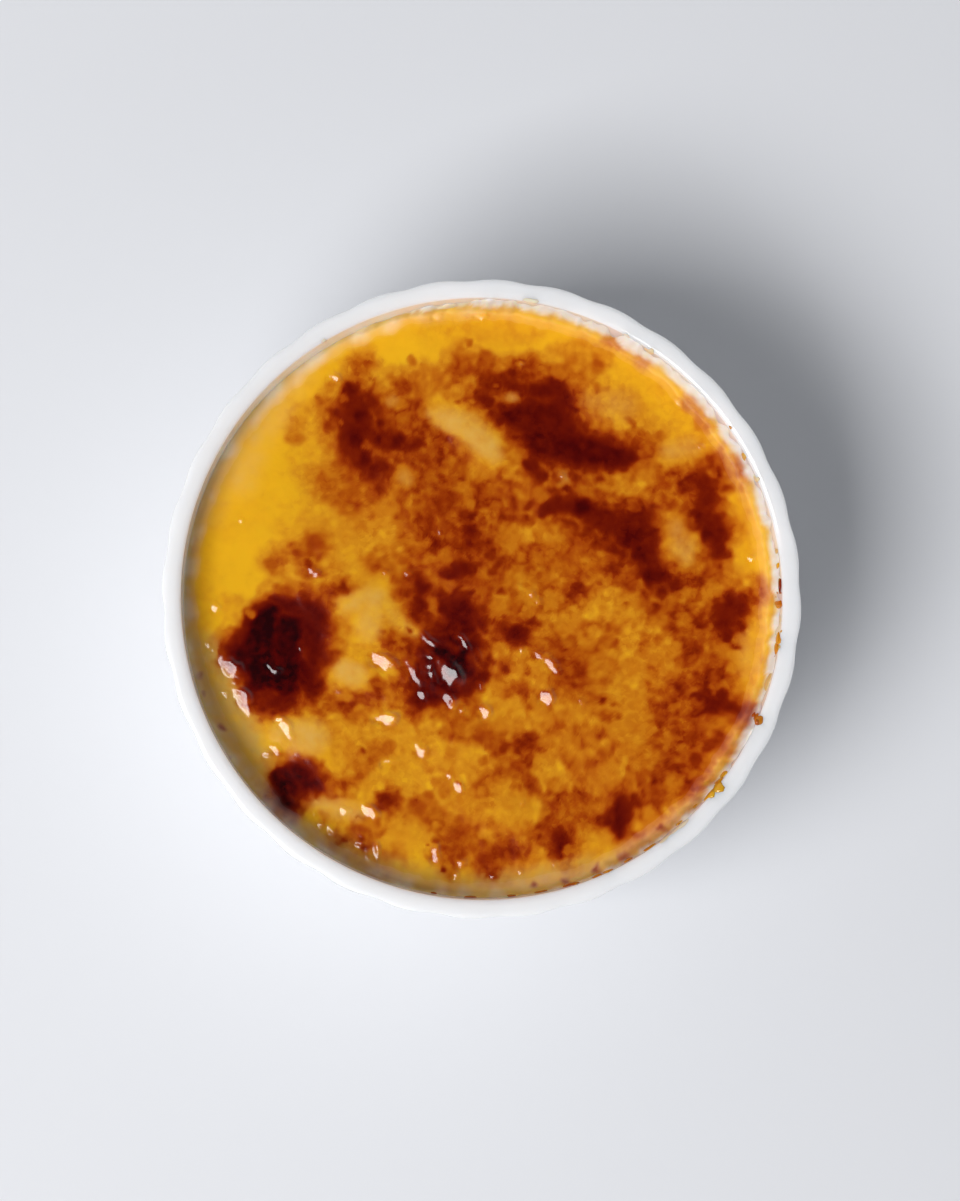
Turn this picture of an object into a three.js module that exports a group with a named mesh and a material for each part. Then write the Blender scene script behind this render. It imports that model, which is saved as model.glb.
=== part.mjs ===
// Crema catalana in a fluted porcelain ramekin.
// Millimetres, +Z up, origin on the table at the centre of the foot.
import * as THREE from "three";

// Ramekin, driving dimensions
const RIM_RADIUS = 45;
const HEIGHT = 45;
const LIP_THICKNESS = 2.7;
const LIP_EDGE_RADIUS = 0.9; // the lip is flat on top between two rounded edges
const FOOT_RADIUS = 38.5;
const FOOT_WIDTH = 2.8;
const FOOT_DEPTH = 1.4;
const FOOT_CHAMFER = 0.5;
const FLOOR_THICKNESS = 3.8;
const FLOOR_FILLET = 7;

// Cream, driving dimensions
const CREAM_LEVEL = 38;
const CREAM_GAP = 0.3; // clearance between the cream's solid and the porcelain
const MENISCUS_RISE = 0.7;
const MENISCUS_WIDTH = 2.2;
const SWELL_HEIGHT = 0.22;
const SWELL_LENGTH = 21;

// Outside of the ramekin's body: height, and how far in from the rim's radius
const BODY_PROFILE = [
  { z: 1.3, inset: 6 },
  { z: 3.2, inset: 3.8 },
  { z: 9, inset: 2.4 },
  { z: 22, inset: 1.6 },
  { z: 34, inset: 1.25 },
  { z: 39, inset: 0.75 },
  { z: 41.6, inset: 0.17 },
];
// Inside of the wall, from the lip down: height, and how far in from the lip's inner radius
const BORE_PROFILE = [
  { z: HEIGHT - LIP_EDGE_RADIUS, inset: 0 },
  { z: CREAM_LEVEL, inset: 0.4 },
  { z: CREAM_LEVEL * 0.72, inset: 1.15 },
  { z: FOOT_DEPTH + FLOOR_THICKNESS + FLOOR_FILLET, inset: 2.3 },
];

// Flutes round the outside
const FLUTE_COUNT = 32;
const FLUTE_TURN = -2.8; // degrees from +X to the first crest
const FLUTE_HALF_DEPTH = 0.62; // on the body
const LIP_HALF_DEPTH = 0.17; // where the flutes die out in the lip
const FLUTE_FLATTENING = 0.15; // broadens the crests and narrows the valleys
const FLUTE_START = 2.2;
const FLUTE_FULL = 6;
const FLUTE_FADE = 35.5;
const FLUTE_LIP = 41;

// Fineness of the meshes
const SIDES_PER_FLUTE = 4; // even, so that crests and valleys both lie on an edge
const BODY_STEPS = 6;
const LIP_EDGE_STEPS = 2;
const BORE_STEPS = 3;
const FILLET_STEPS = 3;
const CREAM_SIDES = 80;
const CREAM_RINGS = 18;
const CREAM_SIDE_STEPS = 6;

// Blisters of the burnt sugar skin
const BLISTERS = [
  { x: -0.1, y: 22.5, halfLength: 6.2, halfWidth: 2.9, turn: -40, rise: 0.75 },
  { x: 29, y: 8.2, halfLength: 5.6, halfWidth: 3.1, turn: 80, rise: 0.7 },
  { x: -16.9, y: -10.8, halfLength: 3.5, halfWidth: 3.3, turn: 0, rise: 0.6 },
  { x: -15.6, y: -1.5, halfLength: 5, halfWidth: 3.6, turn: -60, rise: 0.55 },
  { x: -25.3, y: -18.9, halfLength: 4.8, halfWidth: 3.2, turn: -20, rise: 0.6 },
  { x: 9.6, y: 8.9, halfLength: 4.2, halfWidth: 2.6, turn: 15, rise: 0.45 },
  { x: 18.1, y: -2.7, halfLength: 6, halfWidth: 3.1, turn: 10, rise: 0.45 },
  { x: 3.8, y: -30.6, halfLength: 5.4, halfWidth: 2.8, turn: 0, rise: 0.5 },
  { x: -34, y: 12, halfLength: 7, halfWidth: 4.4, turn: 65, rise: 0.35 },
  { x: 18.6, y: 29, halfLength: 6, halfWidth: 3.4, turn: -30, rise: 0.4 },
];
// Burnt pools, where the sugar has sunk into the cream
const POOLS = [
  { x: 12, y: 24.5, halfLength: 11, halfWidth: 5.2, turn: -38, rise: -0.45 },
  { x: -15, y: 23, halfLength: 7.2, halfWidth: 6.4, turn: 60, rise: -0.35 },
  { x: 22.5, y: 9, halfLength: 5.6, halfWidth: 6, turn: 0, rise: -0.35 },
  { x: -27.9, y: -6.6, halfLength: 8.6, halfWidth: 6.6, turn: 70, rise: -0.4 },
];
// Lump of charred sugar near the middle
const CHAR_LUMP = { x: -3.9, y: -9.2, halfLength: 4.6, halfWidth: 4.6, turn: 0, rise: 1.1 };

const { smoothstep, lerp, degToRad } = THREE.MathUtils;
const vec = (r, z) => new THREE.Vector2(r, z);

const lipInside = RIM_RADIUS - LIP_THICKNESS;
const floorTop = FOOT_DEPTH + FLOOR_THICKNESS;
const bodyWall = new THREE.SplineCurve(BODY_PROFILE.map((p) => vec(RIM_RADIUS - p.inset, p.z)));
const boreWall = new THREE.SplineCurve(BORE_PROFILE.map((p) => vec(lipInside - p.inset, p.z)));
const boreAtCream = lipInside - BORE_PROFILE[1].inset;

// A quarter round from the wall's foot in to the floor
function floorFillet(gap) {
  const wallFoot = boreWall.getPoint(1);
  const radius = FLOOR_FILLET - gap;
  const arc = new THREE.EllipseCurve(
    wallFoot.x - FLOOR_FILLET, floorTop + FLOOR_FILLET, radius, radius, 0, -Math.PI / 2, true);
  return arc.getPoints(FILLET_STEPS);
}

// A quarter round on the lip, from the outside or from the flat top
function lipEdge(x, startAngle) {
  const arc = new THREE.EllipseCurve(
    x, HEIGHT - LIP_EDGE_RADIUS, LIP_EDGE_RADIUS, LIP_EDGE_RADIUS, startAngle, startAngle + Math.PI / 2, false);
  return arc.getPoints(LIP_EDGE_STEPS);
}

// How far the flutes stand out of and sink into the wall at a height
function fluteHalfDepth(z) {
  const onBody = FLUTE_HALF_DEPTH * smoothstep(z, FLUTE_START, FLUTE_FULL);
  return lerp(onBody, LIP_HALF_DEPTH, smoothstep(z, FLUTE_FADE, FLUTE_LIP));
}

// Convex reeds with broad crests and narrow valleys, from -1 in a valley to 1 on a crest
function reed(angle) {
  const turn = FLUTE_COUNT * (angle - degToRad(FLUTE_TURN));
  return Math.cos(turn) + FLUTE_FLATTENING * (1 - Math.cos(2 * turn));
}

// Turns a profile round the Z axis and moves each vertex by change(point, profile index)
function turned(profile, sides, startDegrees, change) {
  const geometry = new THREE.LatheGeometry(profile, sides, degToRad(startDegrees));
  geometry.rotateX(Math.PI / 2);
  const place = geometry.getAttribute("position");
  const point = new THREE.Vector3();
  for (let i = 0; i < place.count; i++) {
    point.fromBufferAttribute(place, i);
    change(point, i % profile.length);
    place.setXYZ(i, point.x, point.y, point.z);
  }
  geometry.computeVertexNormals();
  return geometry;
}

function ramekin() {
  const footInside = FOOT_RADIUS - FOOT_WIDTH;
  const underside = [
    vec(0, FOOT_DEPTH),
    vec(footInside - FOOT_DEPTH, FOOT_DEPTH),
    vec(footInside, 0),
    vec(FOOT_RADIUS - FOOT_CHAMFER, 0),
    vec(FOOT_RADIUS, FOOT_CHAMFER),
  ];
  const body = bodyWall.getPoints(BODY_STEPS);
  const outerEdge = lipEdge(RIM_RADIUS - LIP_EDGE_RADIUS, 0);
  const innerEdge = lipEdge(lipInside + LIP_EDGE_RADIUS, Math.PI / 2);
  const bore = boreWall.getPoints(BORE_STEPS).slice(1);
  const floor = [...floorFillet(0).slice(1), vec(0, floorTop)];
  const profile = [...underside, ...body, ...outerEdge, ...innerEdge, ...bore, ...floor];

  // The flutes run up the body and fade out over the lip's outer edge
  const bodyStart = underside.length;
  const lipStart = bodyStart + body.length;
  const lipTop = lipStart + LIP_EDGE_STEPS;
  return turned(profile, FLUTE_COUNT * SIDES_PER_FLUTE, FLUTE_TURN, (point, index) => {
    if (index < bodyStart || index > lipTop) return;
    const onLip = index >= lipStart;
    const left = onLip ? (lipTop - index) / (lipTop - lipStart) : 1;
    const radius = Math.hypot(point.x, point.y);
    const crest = onLip ? radius - LIP_HALF_DEPTH * left : radius;
    const depth = fluteHalfDepth(point.z) * left;
    const scale = (crest + depth * reed(Math.atan2(point.y, point.x))) / radius;
    point.x *= scale;
    point.y *= scale;
  });
}

// A round-topped mound over an ellipse, 1 in the middle and 0 outside
function mound(x, y, spot) {
  const turn = degToRad(spot.turn);
  const along = (x - spot.x) * Math.cos(turn) + (y - spot.y) * Math.sin(turn);
  const across = (y - spot.y) * Math.cos(turn) - (x - spot.x) * Math.sin(turn);
  return 1 - smoothstep(Math.hypot(along / spot.halfLength, across / spot.halfWidth), 0.25, 1.25);
}

// Height of the cream's skin over its level: a slow swell, the blisters, the pools and the lump
function relief(x, y) {
  const wave = (2 * Math.PI) / SWELL_LENGTH;
  let height = SWELL_HEIGHT * Math.sin(wave * x + 1.3) * Math.cos(wave * y * 0.8 - 0.6);
  for (const spot of [...BLISTERS, ...POOLS, CHAR_LUMP]) height += spot.rise * mound(x, y, spot);
  return height;
}

function cream() {
  const edge = boreAtCream - CREAM_GAP;
  const top = Array.from({ length: CREAM_RINGS }, (_, i) => vec((edge * i) / CREAM_RINGS, CREAM_LEVEL));
  const below = boreWall.getPoints(CREAM_SIDE_STEPS).filter((p) => p.y < CREAM_LEVEL - MENISCUS_WIDTH);
  const side = [vec(edge, CREAM_LEVEL), ...below.map((p) => vec(p.x - CREAM_GAP, p.y))];
  const bottom = [...floorFillet(CREAM_GAP), vec(0, floorTop + CREAM_GAP)];
  const profile = [...top, ...side, ...bottom].reverse();

  // The skin climbs the wall a little all round
  const skinStart = profile.length - CREAM_RINGS - 1;
  return turned(profile, CREAM_SIDES, 0, (point, index) => {
    if (index < skinStart) return;
    const atWall = smoothstep(Math.hypot(point.x, point.y), edge - MENISCUS_WIDTH, edge);
    point.z += relief(point.x, point.y) * (1 - atWall) + MENISCUS_RISE * atWall ** 2;
  });
}

function piece(name, geometry, color, roughness) {
  const material = new THREE.MeshStandardMaterial({ color, roughness, metalness: 0 });
  const mesh = new THREE.Mesh(geometry, material);
  mesh.name = name;
  return mesh;
}

const dessert = new THREE.Group();
dessert.add(piece("ramekin", ramekin(), "#f0f0ee", 0.12));
dessert.add(piece("cream", cream(), "#c9781a", 0.3));

export default dessert;
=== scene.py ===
# Crema catalana: egg custard under torched sugar, set in a fluted porcelain ramekin.
# The tables are in millimetres, seen from above with +X to the right and +Y away. Meshes are in metres.
import bpy
import numpy as np
from mathutils import Matrix, Vector


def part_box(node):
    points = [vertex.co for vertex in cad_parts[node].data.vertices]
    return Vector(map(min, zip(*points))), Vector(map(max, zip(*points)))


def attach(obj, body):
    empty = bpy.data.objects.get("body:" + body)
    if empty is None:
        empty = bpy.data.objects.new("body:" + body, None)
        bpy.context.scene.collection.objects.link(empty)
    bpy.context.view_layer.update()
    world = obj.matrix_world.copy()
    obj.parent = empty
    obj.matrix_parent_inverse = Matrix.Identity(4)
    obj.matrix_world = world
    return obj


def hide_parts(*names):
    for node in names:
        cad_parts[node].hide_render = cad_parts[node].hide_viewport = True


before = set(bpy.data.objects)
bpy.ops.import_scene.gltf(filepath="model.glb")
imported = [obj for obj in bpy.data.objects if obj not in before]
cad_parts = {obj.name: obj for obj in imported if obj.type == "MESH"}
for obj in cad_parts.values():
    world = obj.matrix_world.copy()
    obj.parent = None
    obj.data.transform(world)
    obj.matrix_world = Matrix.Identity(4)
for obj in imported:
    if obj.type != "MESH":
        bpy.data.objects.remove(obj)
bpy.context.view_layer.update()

mm = 0.001
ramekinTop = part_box("ramekin")[1]
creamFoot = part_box("cream")[0]
creamLevel = 38
lattice = 128  # squares of noise before it repeats
print("frame loaded:", sorted(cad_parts))


def smooth(value, low, high):
    # 0 below low, 1 above high, 3t^2 - 2t^3 between
    t = np.clip((value - low) / (high - low), 0, 1)
    return t * t * (3 - 2 * t)


def ripple(x, y, size, seed):
    # Gradient noise from about -1 to 1: every corner of a square lattice has a random slope, and the four
    # slopes round a point are blended by the quintic 6t^5 - 15t^4 + 10t^3
    turns = np.random.default_rng(seed).uniform(0, 2 * np.pi, (lattice, lattice))
    u, v = x / size, y / size
    i, j = np.floor(u).astype(int), np.floor(v).astype(int)
    fu, fv = u - i, v - j

    def corner(a, b):
        turn = turns[(i + a) % lattice, (j + b) % lattice]
        return np.cos(turn) * (fu - a) + np.sin(turn) * (fv - b)

    su = fu ** 3 * (fu * (fu * 6 - 15) + 10)
    sv = fv ** 3 * (fv * (fv * 6 - 15) + 10)
    near = corner(0, 0) * (1 - su) + corner(1, 0) * su
    far = corner(0, 1) * (1 - su) + corner(1, 1) * su
    return 1.5 * (near * (1 - sv) + far * sv)  # 1.5 brings its peaks to about 1


def layered(x, y, size, seed, count=3, gain=0.6):
    # Ripples of halving size and falling strength, added up
    total = sum(gain ** n * ripple(x, y, size / 2 ** n, seed + n) for n in range(count))
    return total / sum(gain ** n for n in range(count))


def cells(x, y, size, seed):
    # One jittered point in each square of a lattice: how far the nearest is, in squares, and its random share
    table = np.random.default_rng(seed).random((lattice, lattice, 3))
    u, v = x / size, y / size
    i, j = np.floor(u).astype(int), np.floor(v).astype(int)
    nearest = np.full(np.shape(u), np.inf)
    share = np.zeros(np.shape(u))
    for a in (-1, 0, 1):
        for b in (-1, 0, 1):
            px, py, own = np.moveaxis(table[(i + a) % lattice, (j + b) % lattice], -1, 0)
            gap = np.hypot(i + a + px - u, j + b + py - v)
            share = np.where(gap < nearest, own, share)
            nearest = np.minimum(gap, nearest)
    return nearest, share


def outside(x, y, chain):
    # Distance in mm out from a chain of discs and the tapered bands between them, below 0 inside
    px, py, radius = chain[0]
    best = np.hypot(x - px, y - py) - radius
    for (ax, ay, ar), (bx, by, br) in zip(chain[:-1], chain[1:]):
        dx, dy = bx - ax, by - ay
        t = np.clip(((x - ax) * dx + (y - ay) * dy) / (dx * dx + dy * dy), 0, 1)
        best = np.minimum(best, np.hypot(x - ax - t * dx, y - ay - t * dy) - (ar + t * (br - ar)))
    return best


def mound(x, y, spot):
    # 1 in the middle of an ellipse, 0 outside it, smooth between
    px, py, halfLength, halfWidth, turn = spot[:5]
    c, s = np.cos(np.radians(turn)), np.sin(np.radians(turn))
    along = ((x - px) * c + (y - py) * s) / halfLength
    across = ((y - py) * c - (x - px) * s) / halfWidth
    return 1 - smooth(np.hypot(along, across), 0.25, 1.25)


# The crust. Burn goes from 0, clean yellow custard, to 1, black sugar. A chain is a row of discs, each with
# its x, y and radius, and the bands that join them.
cleanArc = [(-33.4, 17, 1.6), (-32, 22.6, 2), (-29, 26.6, 1.6)]  # custard at the far left that never burnt
crust = {
    "middle": (-0.45, -0.1),  # where the tables of the crust and its relief have their zero, from the axis
    "warp": (0.8, 4.2, 0.42, 1.5),  # how far the flame's edges wander and over what length, coarse and fine
    "halo": (3.1, 0.8),  # mm over which a mark fades out, and the power of its falloff
    "skirt": (0.55, 0.8, 0.9),  # amber skirt round a mark: share of its burn, width in mm, and more in radii
    # length in mm, and burn, of what makes the torched sugar uneven
    "flicker": (5.5, 0.3, 1.06),  # within a wash, as a share of its burn, and the mean it strays from
    "tide": (8, 0.05),  # over all the custard
    "mottle": ((2.8, 0.1), (1.1, 0.08)),
    "cobbles": ((3.5, 0.17), (1.7, 0.1)),  # domes of the skin, paler than the seams between them
    "pits": (1.3, 0.15),
    "cleanUneven": (0.18, 0.82, 0.08, 0.34),  # share of this on custard, more on amber, and burn of each
    "charUneven": (0.75, 0.62, 0.86),  # share that goes again on char, and the burn it goes over
    "fray": (0.5, 0.9, 0.3),  # mm that blisters and grains stray, length and share of a blister's own fraying
    "blisterFade": (0.8, 0.35, 1.25),  # how far a blister pales the skin, and the radii over which that fades
    "seam": (0.05, 1.3, 0.05, 0.5),  # burn of the ring round it, then in radii: size, and where it fades
    "seamBurn": (0.3, 0.45, 0.9, 0.2),  # burn under the ring: where it starts, is full and ends, and fading
    "grainFade": (0.2, 1.5),  # radii over which a grain fades
    # broad, soft washes of amber: burn, softness, then x, y, radius along a chain
    "washes": [
        (0.17, 10, [(4, -4, 33)]), (0.05, 5, [(-39, 6, 1.5), (-38.4, -3, 1.5)]), (0.35, 14, [(8, 6, 18)]),
        (0.33, 14, [(18, -10, 16)]), (0.3, 8, [(20, -22, 12), (4, -30, 8)]),
        (0.18, 8, [(-6, -22, 6), (-14, -34, 5)]), (0.2, 8, [(-14, 10, 6), (-20, 18, 5)]),
        (0.46, 5, [(-17, 27, 5), (-10, 23, 5.5), (-5, 19, 5)]),
        (0.5, 5, [(-5, 20, 3.4), (-5.5, 10, 4.6), (-3, 2, 4.6)]), (0.45, 5, [(0, 15, 4), (6, 15, 4)]),
        (0.5, 5, [(10, 18, 2.4), (14, 13, 4), (16, 8.6, 3)]),
        (0.46, 4, [(-2, 33.6, 2.4), (4, 31.6, 3.6), (10, 30, 3.6)]),
        (0.3, 5, [(14, 35.4, 1.4), (15.6, 33, 2.2)]), (0.18, 5, [(20, 31, 2), (25, 24, 3)]),
        (0.48, 5, [(20, 10, 5), (26, 4, 5), (33, 12, 4.6)]), (0.48, 4, [(8, 6, 3.8)]),
        (0.5, 5, [(26, -1, 3), (32, -4, 4), (32, -13, 5), (28, -19, 5)]),
        (0.42, 4, [(30, -24, 3), (24, -27, 4), (12, -31, 3.4), (3, -36, 3.6)]),
        (0.5, 4, [(12.6, -8, 3.6), (14, -11, 3.2)]), (0.4, 4, [(2, -19.5, 2.6), (7, -21, 3.4), (7, -25, 2)]),
        (0.34, 4, [(-21.6, 16.6, 1.6), (-17.6, 13, 2.2)]), (0.2, 4, [(-25, 25, 2.4)]),
        (0.09, 4, [(-7, 38, 1.6), (1, 38.4, 1.8), (8, 38, 1.8)]),
        (0.36, 4, [(16.6, 30.2, 1.4), (17.4, 26, 1.4)]), (0.36, 4, [(-13.6, -32.2, 1.8)]),
        (0.38, 4, [(-4.4, -38.4, 1.2)]), (0.42, 4, [(7.8, -17.4, 1.2), (2.2, -5.6, 1.2)]),
        (0.42, 3, [(19.4, -14.6, 1)]), (0.42, 4, [(12.4, -25.6, 1.4), (9.6, -34.8, 1), (15.2, -33.4, 1)]),
        (0.5, 4, [(23.4, -25.6, 1.2)]), (0.54, 4, [(3.2, 1.6, 1.2), (2.4, 4.2, 1)]),
        (0.44, 3, [(-10.6, 5.6, 1)]), (0.4, 3, [(20.6, -2.4, 0.8)]),
        (0.62, 4, [(7.4, 12.2, 1.6), (1.2, 11.6, 0.9)]), (0.46, 4, [(10, 9.4, 2.2)]),
        (0.44, 5, [(3.8, -13.2, 1.9), (2.6, -5.4, 1)]), (0.26, 3, [(-23.4, 27.2, 1.2)]),
        (0.26, 3, [(-21.8, -31, 1.2), (-14.2, -31.4, 1.4)]), (0.2, 4, [(38.4, -8.4, 1.6)]),
        (0.46, 4, [(-10.6, 14, 1.8), (-11, 10, 1.8), (-9, 6, 1.6)]),
        (0.27, 3, [(19, 37.2, 1), (24, 34, 0.8)]), (0.3, 3, [(37.4, 19.6, 0.9), (37.6, 16.8, 0.9)]),
        (0.28, 3, [(30.4, 28, 1), (32.4, 24.8, 0.9)]), (0.38, 3, [(-27, 6, 1.6), (-23, 8, 1.8)]),
        (0.38, 3, [(-15, -22.4, 1.6), (-12.6, -21, 1.8)]), (0.34, 3, [(-22, -26, 1.6), (-18, -26.4, 1.6)]),
        (0.33, 4, [(-14, 5.4, 1.6), (-9, 4.2, 2)]), (0.44, 4, [(-10, -6, 2.4), (-9, -13, 2.6)]),
        (0.5, 3, [(-6, -16, 1.2), (-1.6, -16, 1.4)]),
        (0.34, 4, [(-31, -16.4, 1.2), (-20, -15.4, 1.4), (-12, -14, 2)]),
        (0.36, 4, [(-8, -29, 2.4), (-3, -34, 3)]),
    ],
    # the torch's marks: burn, then x, y, radius along a chain
    "marks": [
        # upper left
        (0.8, [(-17.9, 29.6, 1.3), (-17.2, 25.8, 2.6), (-17.2, 21.8, 2.6), (-15.8, 19.4, 1.2)]),
        (0.8, [(-16, 23.6, 1.8), (-12.6, 22.6, 1.5), (-8.6, 22.6, 1.1)]),
        (0.74, [(-14.8, 19.2, 2), (-13.8, 16.8, 1.3)]), (0.52, [(-21, 26.8, 1.1), (-20.6, 24, 0.9)]),
        (0.74, [(-15.4, 28.4, 1.6), (-13.4, 26.4, 1.6)]), (0.46, [(-17, 32.8, 1.1), (-15.8, 33.2, 0.8)]),
        (0.5, [(-11.2, 30.8, 1), (-8.6, 31.6, 0.9), (-9.1, 27.8, 1.6)]),
        (0.56, [(-11, 25.2, 1.2), (-9.4, 25.4, 0.9)]), (0.46, [(-21.8, 16.2, 1), (-20.8, 15.4, 0.9)]),
        (0.54, [(-18.4, 18, 1.3), (-18, 15.6, 1.2)]), (0.46, [(-18.4, 13.4, 1), (-15.4, 13, 1)]),
        # middle
        (0.62, [(-6.4, 21.6, 1.6), (-4, 19.2, 1.8), (-3.6, 22.6, 0.8)]),
        (0.56, [(-7.6, 18, 1.4), (-6.8, 16.4, 1)]), (0.7, [(-4.8, 10.6, 1.5), (-5.2, 9.6, 1.2)]),
        (0.72, [(-6.8, -2.2, 1.5), (-6.4, -4.6, 1.1)]), (0.7, [(-10.4, -4.9, 1.4), (-9.8, -6.6, 0.9)]),
        (0.84, [(-0.6, -1.6, 1.6), (1.2, -3.6, 1.3)]), (0.58, [(1.8, 3.6, 1.2), (1.6, 0.6, 1.2)]),
        (0.66, [(-4.4, 14.4, 1.4), (-6.6, 11.2, 1.6), (-5.6, 9.2, 1.2)]),
        (0.68, [(-1.4, 11.8, 1.4), (-1.8, 7.8, 2), (1.6, 8.4, 1)]),
        (0.62, [(1.8, 8.2, 0.8), (2.9, 3.4, 0.8)]), (0.86, [(-3.8, 4.4, 1.1), (-1.8, 4.4, 1.3)]),
        (0.8, [(-8.4, 3, 1), (-7.8, 0.8, 1.2), (-9.2, -1.8, 1)]), (0.62, [(-11, 1.8, 0.7), (-9.6, 1.4, 1.1)]),
        (0.82, [(-3.4, 0.2, 1.4), (-3, -3.2, 2.2), (-0.8, -4.6, 1.8)]),
        (0.56, [(-9, 7.2, 1), (-7.2, 6.4, 0.9)]),
        (0.46, [(-15.8, 5.8, 0.4), (-13.4, 5.6, 0.4), (-11.6, 6.4, 0.4)]),
        (0.6, [(0.6, 1.8, 0.9), (0.4, -2.4, 1)]), (0.56, [(2, 14.6, 1.2), (5.6, 14, 1.4), (4.6, 11.6, 0.6)]),
        # left
        (0.52, [(-22.4, 8.2, 1.2), (-25.4, 6.6, 0.9), (-28.6, 5.6, 0.5)]),
        (0.6, [(-24.2, 5.2, 0.5), (-22.8, 4.8, 0.4)]),
        (0.99, [(-28.6, -1.8, 1.7), (-30.8, -5.8, 2.7), (-33.2, -7.8, 1.8), (-30.4, -10.8, 2.6)]),
        (0.82, [(-31.8, -13, 1.5), (-28.8, -14.2, 1.7), (-27, -14, 1.4)]),
        (0.92, [(-33.8, -6.4, 1.4), (-34.6, -8.4, 1.2)]), (0.98, [(-27, -4.6, 3), (-27.2, -11.4, 2.6)]),
        (0.98, [(-29.5, -3.6, 2.2), (-29.2, -9.2, 2.6)]),
        (0.91, [(-28.2, 0.2, 1.3), (-23.8, -2.4, 2.3), (-22.9, -7.6, 2)]),
        (0.91, [(-24.8, -9.6, 2.2), (-23.6, -12.2, 1.3)]),
        (0.7, [(-28, 0.4, 1), (-22.8, 0.2, 0.9), (-18.8, 1.4, 0.6)]),
        (0.62, [(-30.6, -13.8, 1), (-25.4, -14.2, 0.8)]),
        (0.66, [(-21.4, -14.2, 0.8), (-16.6, -15, 1), (-14.4, -12.8, 0.9)]),
        (0.54, [(-12.8, -4.6, 0.7), (-11.2, -6.6, 1)]),
        # the charred lump and its skirt
        (1, [(-4.4, -7.6, 1.8), (-2.6, -9.4, 2), (-1.6, -7.4, 1.2)]),
        (0.88, [(-6.8, -9.6, 1.6), (-6.4, -12.8, 1.4), (-2.6, -13, 1.4), (0, -10.2, 1.2)]),
        (0.84, [(-1.2, -5.4, 1.6), (0.6, -8.6, 0.8)]),
        (0.94, [(-6.6, -8.6, 1.6), (-6, -11.4, 2), (-3.2, -12.6, 1.8)]),
        (0.88, [(-5, -4.4, 1.4), (-2.2, -2.6, 1.8)]),
        (0.9, [(-7, -7.2, 1.1), (-8, -9.4, 1.1), (-6.8, -11, 1.2)]),
        (0.94, [(-4, -1.8, 1.4), (-2.4, -1, 1.9), (-1.4, -3.4, 1.7)]),
        (0.93, [(-5.6, -6.4, 1.4), (-3.2, -5.6, 1.6), (-0.4, -6.6, 1.4)]),
        (0.9, [(-8.2, -10.8, 1.7), (-7.6, -13.4, 1.9), (-4.8, -13.8, 1.3)]),
        (0.64, [(-1.4, -14.2, 1.1), (-0.8, -14.6, 0.9)]),
        (0.66, [(-10.4, -12.2, 1.4), (-8.6, -15.2, 1.1), (-6.4, -15.6, 0.6)]),
        (0.52, [(-3, -18.2, 1), (-0.8, -18.6, 1)]),
        # lower left
        (0.99, [(-28.2, -25, 1.1), (-27.4, -26.6, 1.6), (-26.6, -28.6, 1.1)]),
        (0.95, [(-26.2, -24.2, 1.3), (-24.4, -25.2, 1.6), (-23, -25.4, 1.1)]),
        (0.97, [(-27.2, -24.6, 1.4), (-25.6, -26.2, 1.4)]),
        (0.54, [(-22.2, -25.8, 0.9), (-19.8, -26.4, 0.7)]),
        (0.46, [(-14.6, -21.2, 0.8), (-12.4, -20.8, 0.7)]), (0.36, [(-15.8, -23.6, 0.8), (-17.4, -25, 0.6)]),
        (0.7, [(-12.9, -28.2, 1), (-12.5, -28.4, 1)]), (0.46, [(-8.2, -29.8, 1.4), (-6.8, -27.6, 0.7)]),
        (0.54, [(-3, -32.6, 1.4), (-2.2, -35.6, 1.6), (-4.6, -35.2, 1)]),
        (0.6, [(-19.4, -33.8, 0.4), (-17.4, -33.6, 0.5), (-15.6, -34.8, 0.4)]),
        (0.44, [(-13.8, -37.2, 0.8), (-11.4, -36, 0.6)]), (0.64, [(0.8, -36, 1.3), (1.8, -37.4, 1.2)]),
        (0.62, [(5, -35.4, 1.3), (5.6, -36.4, 0.8)]),
        # upper right, the long diagonal
        (0.44, [(-2.2, 35.2, 0.6), (-2, 33, 1.2)]), (0.42, [(-5, 31.4, 1), (-2.2, 30.8, 1.5)]),
        (0.76, [(3.2, 31.2, 1.6), (6.8, 30.6, 1.9), (9.4, 29.4, 2.2)]),
        (0.76, [(0.4, 28.8, 1.3), (2.2, 27.6, 1.2)]), (0.74, [(4.8, 24.6, 1.4), (6, 22.4, 1.2)]),
        (0.7, [(0.6, 32.8, 1.4), (1.8, 30.6, 1.4), (1.4, 28.6, 1.6)]),
        (0.74, [(4.2, 32.4, 1.2), (7, 32.2, 1.3)]),
        (0.88, [(8.6, 30.4, 1.6), (12, 30.2, 1.6), (12, 27.4, 2.2)]),
        (0.56, [(14.8, 25.6, 1), (14.2, 26.8, 0.9)]),
        (0.88, [(4.2, 26.6, 1.6), (8, 26.2, 3), (11.6, 24.6, 3.2)]),
        (0.92, [(8.6, 22.6, 2.4), (14, 22.2, 2.8), (18.6, 20.9, 2), (22, 20.4, 1.5)]),
        (0.82, [(15.6, 19.8, 1.6), (19.4, 19.8, 1)]), (0.82, [(8, 20, 1.2), (8.8, 17.6, 1.1)]),
        (0.44, [(23.8, 22.8, 1.2), (25.4, 22, 1)]), (0.62, [(10.2, 18.6, 1.2), (14.2, 17.4, 1.5)]),
        (0.46, [(16.8, 34, 0.9), (16.2, 33, 0.7)]), (0.38, [(12, 34.6, 0.5), (13, 34.8, 0.5)]),
        # right
        (0.86, [(9.6, 13.2, 0.9), (13.6, 14, 1.7), (16.6, 12.6, 1.8)]),
        (0.84, [(17, 12, 2.2), (21.4, 10.4, 2.9), (24.4, 11.8, 1.5)]),
        (0.66, [(13, 10.8, 1.8), (16, 8, 1.9)]), (0.76, [(18.6, 8.4, 1.8), (20.8, 6.4, 1.5)]),
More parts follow.
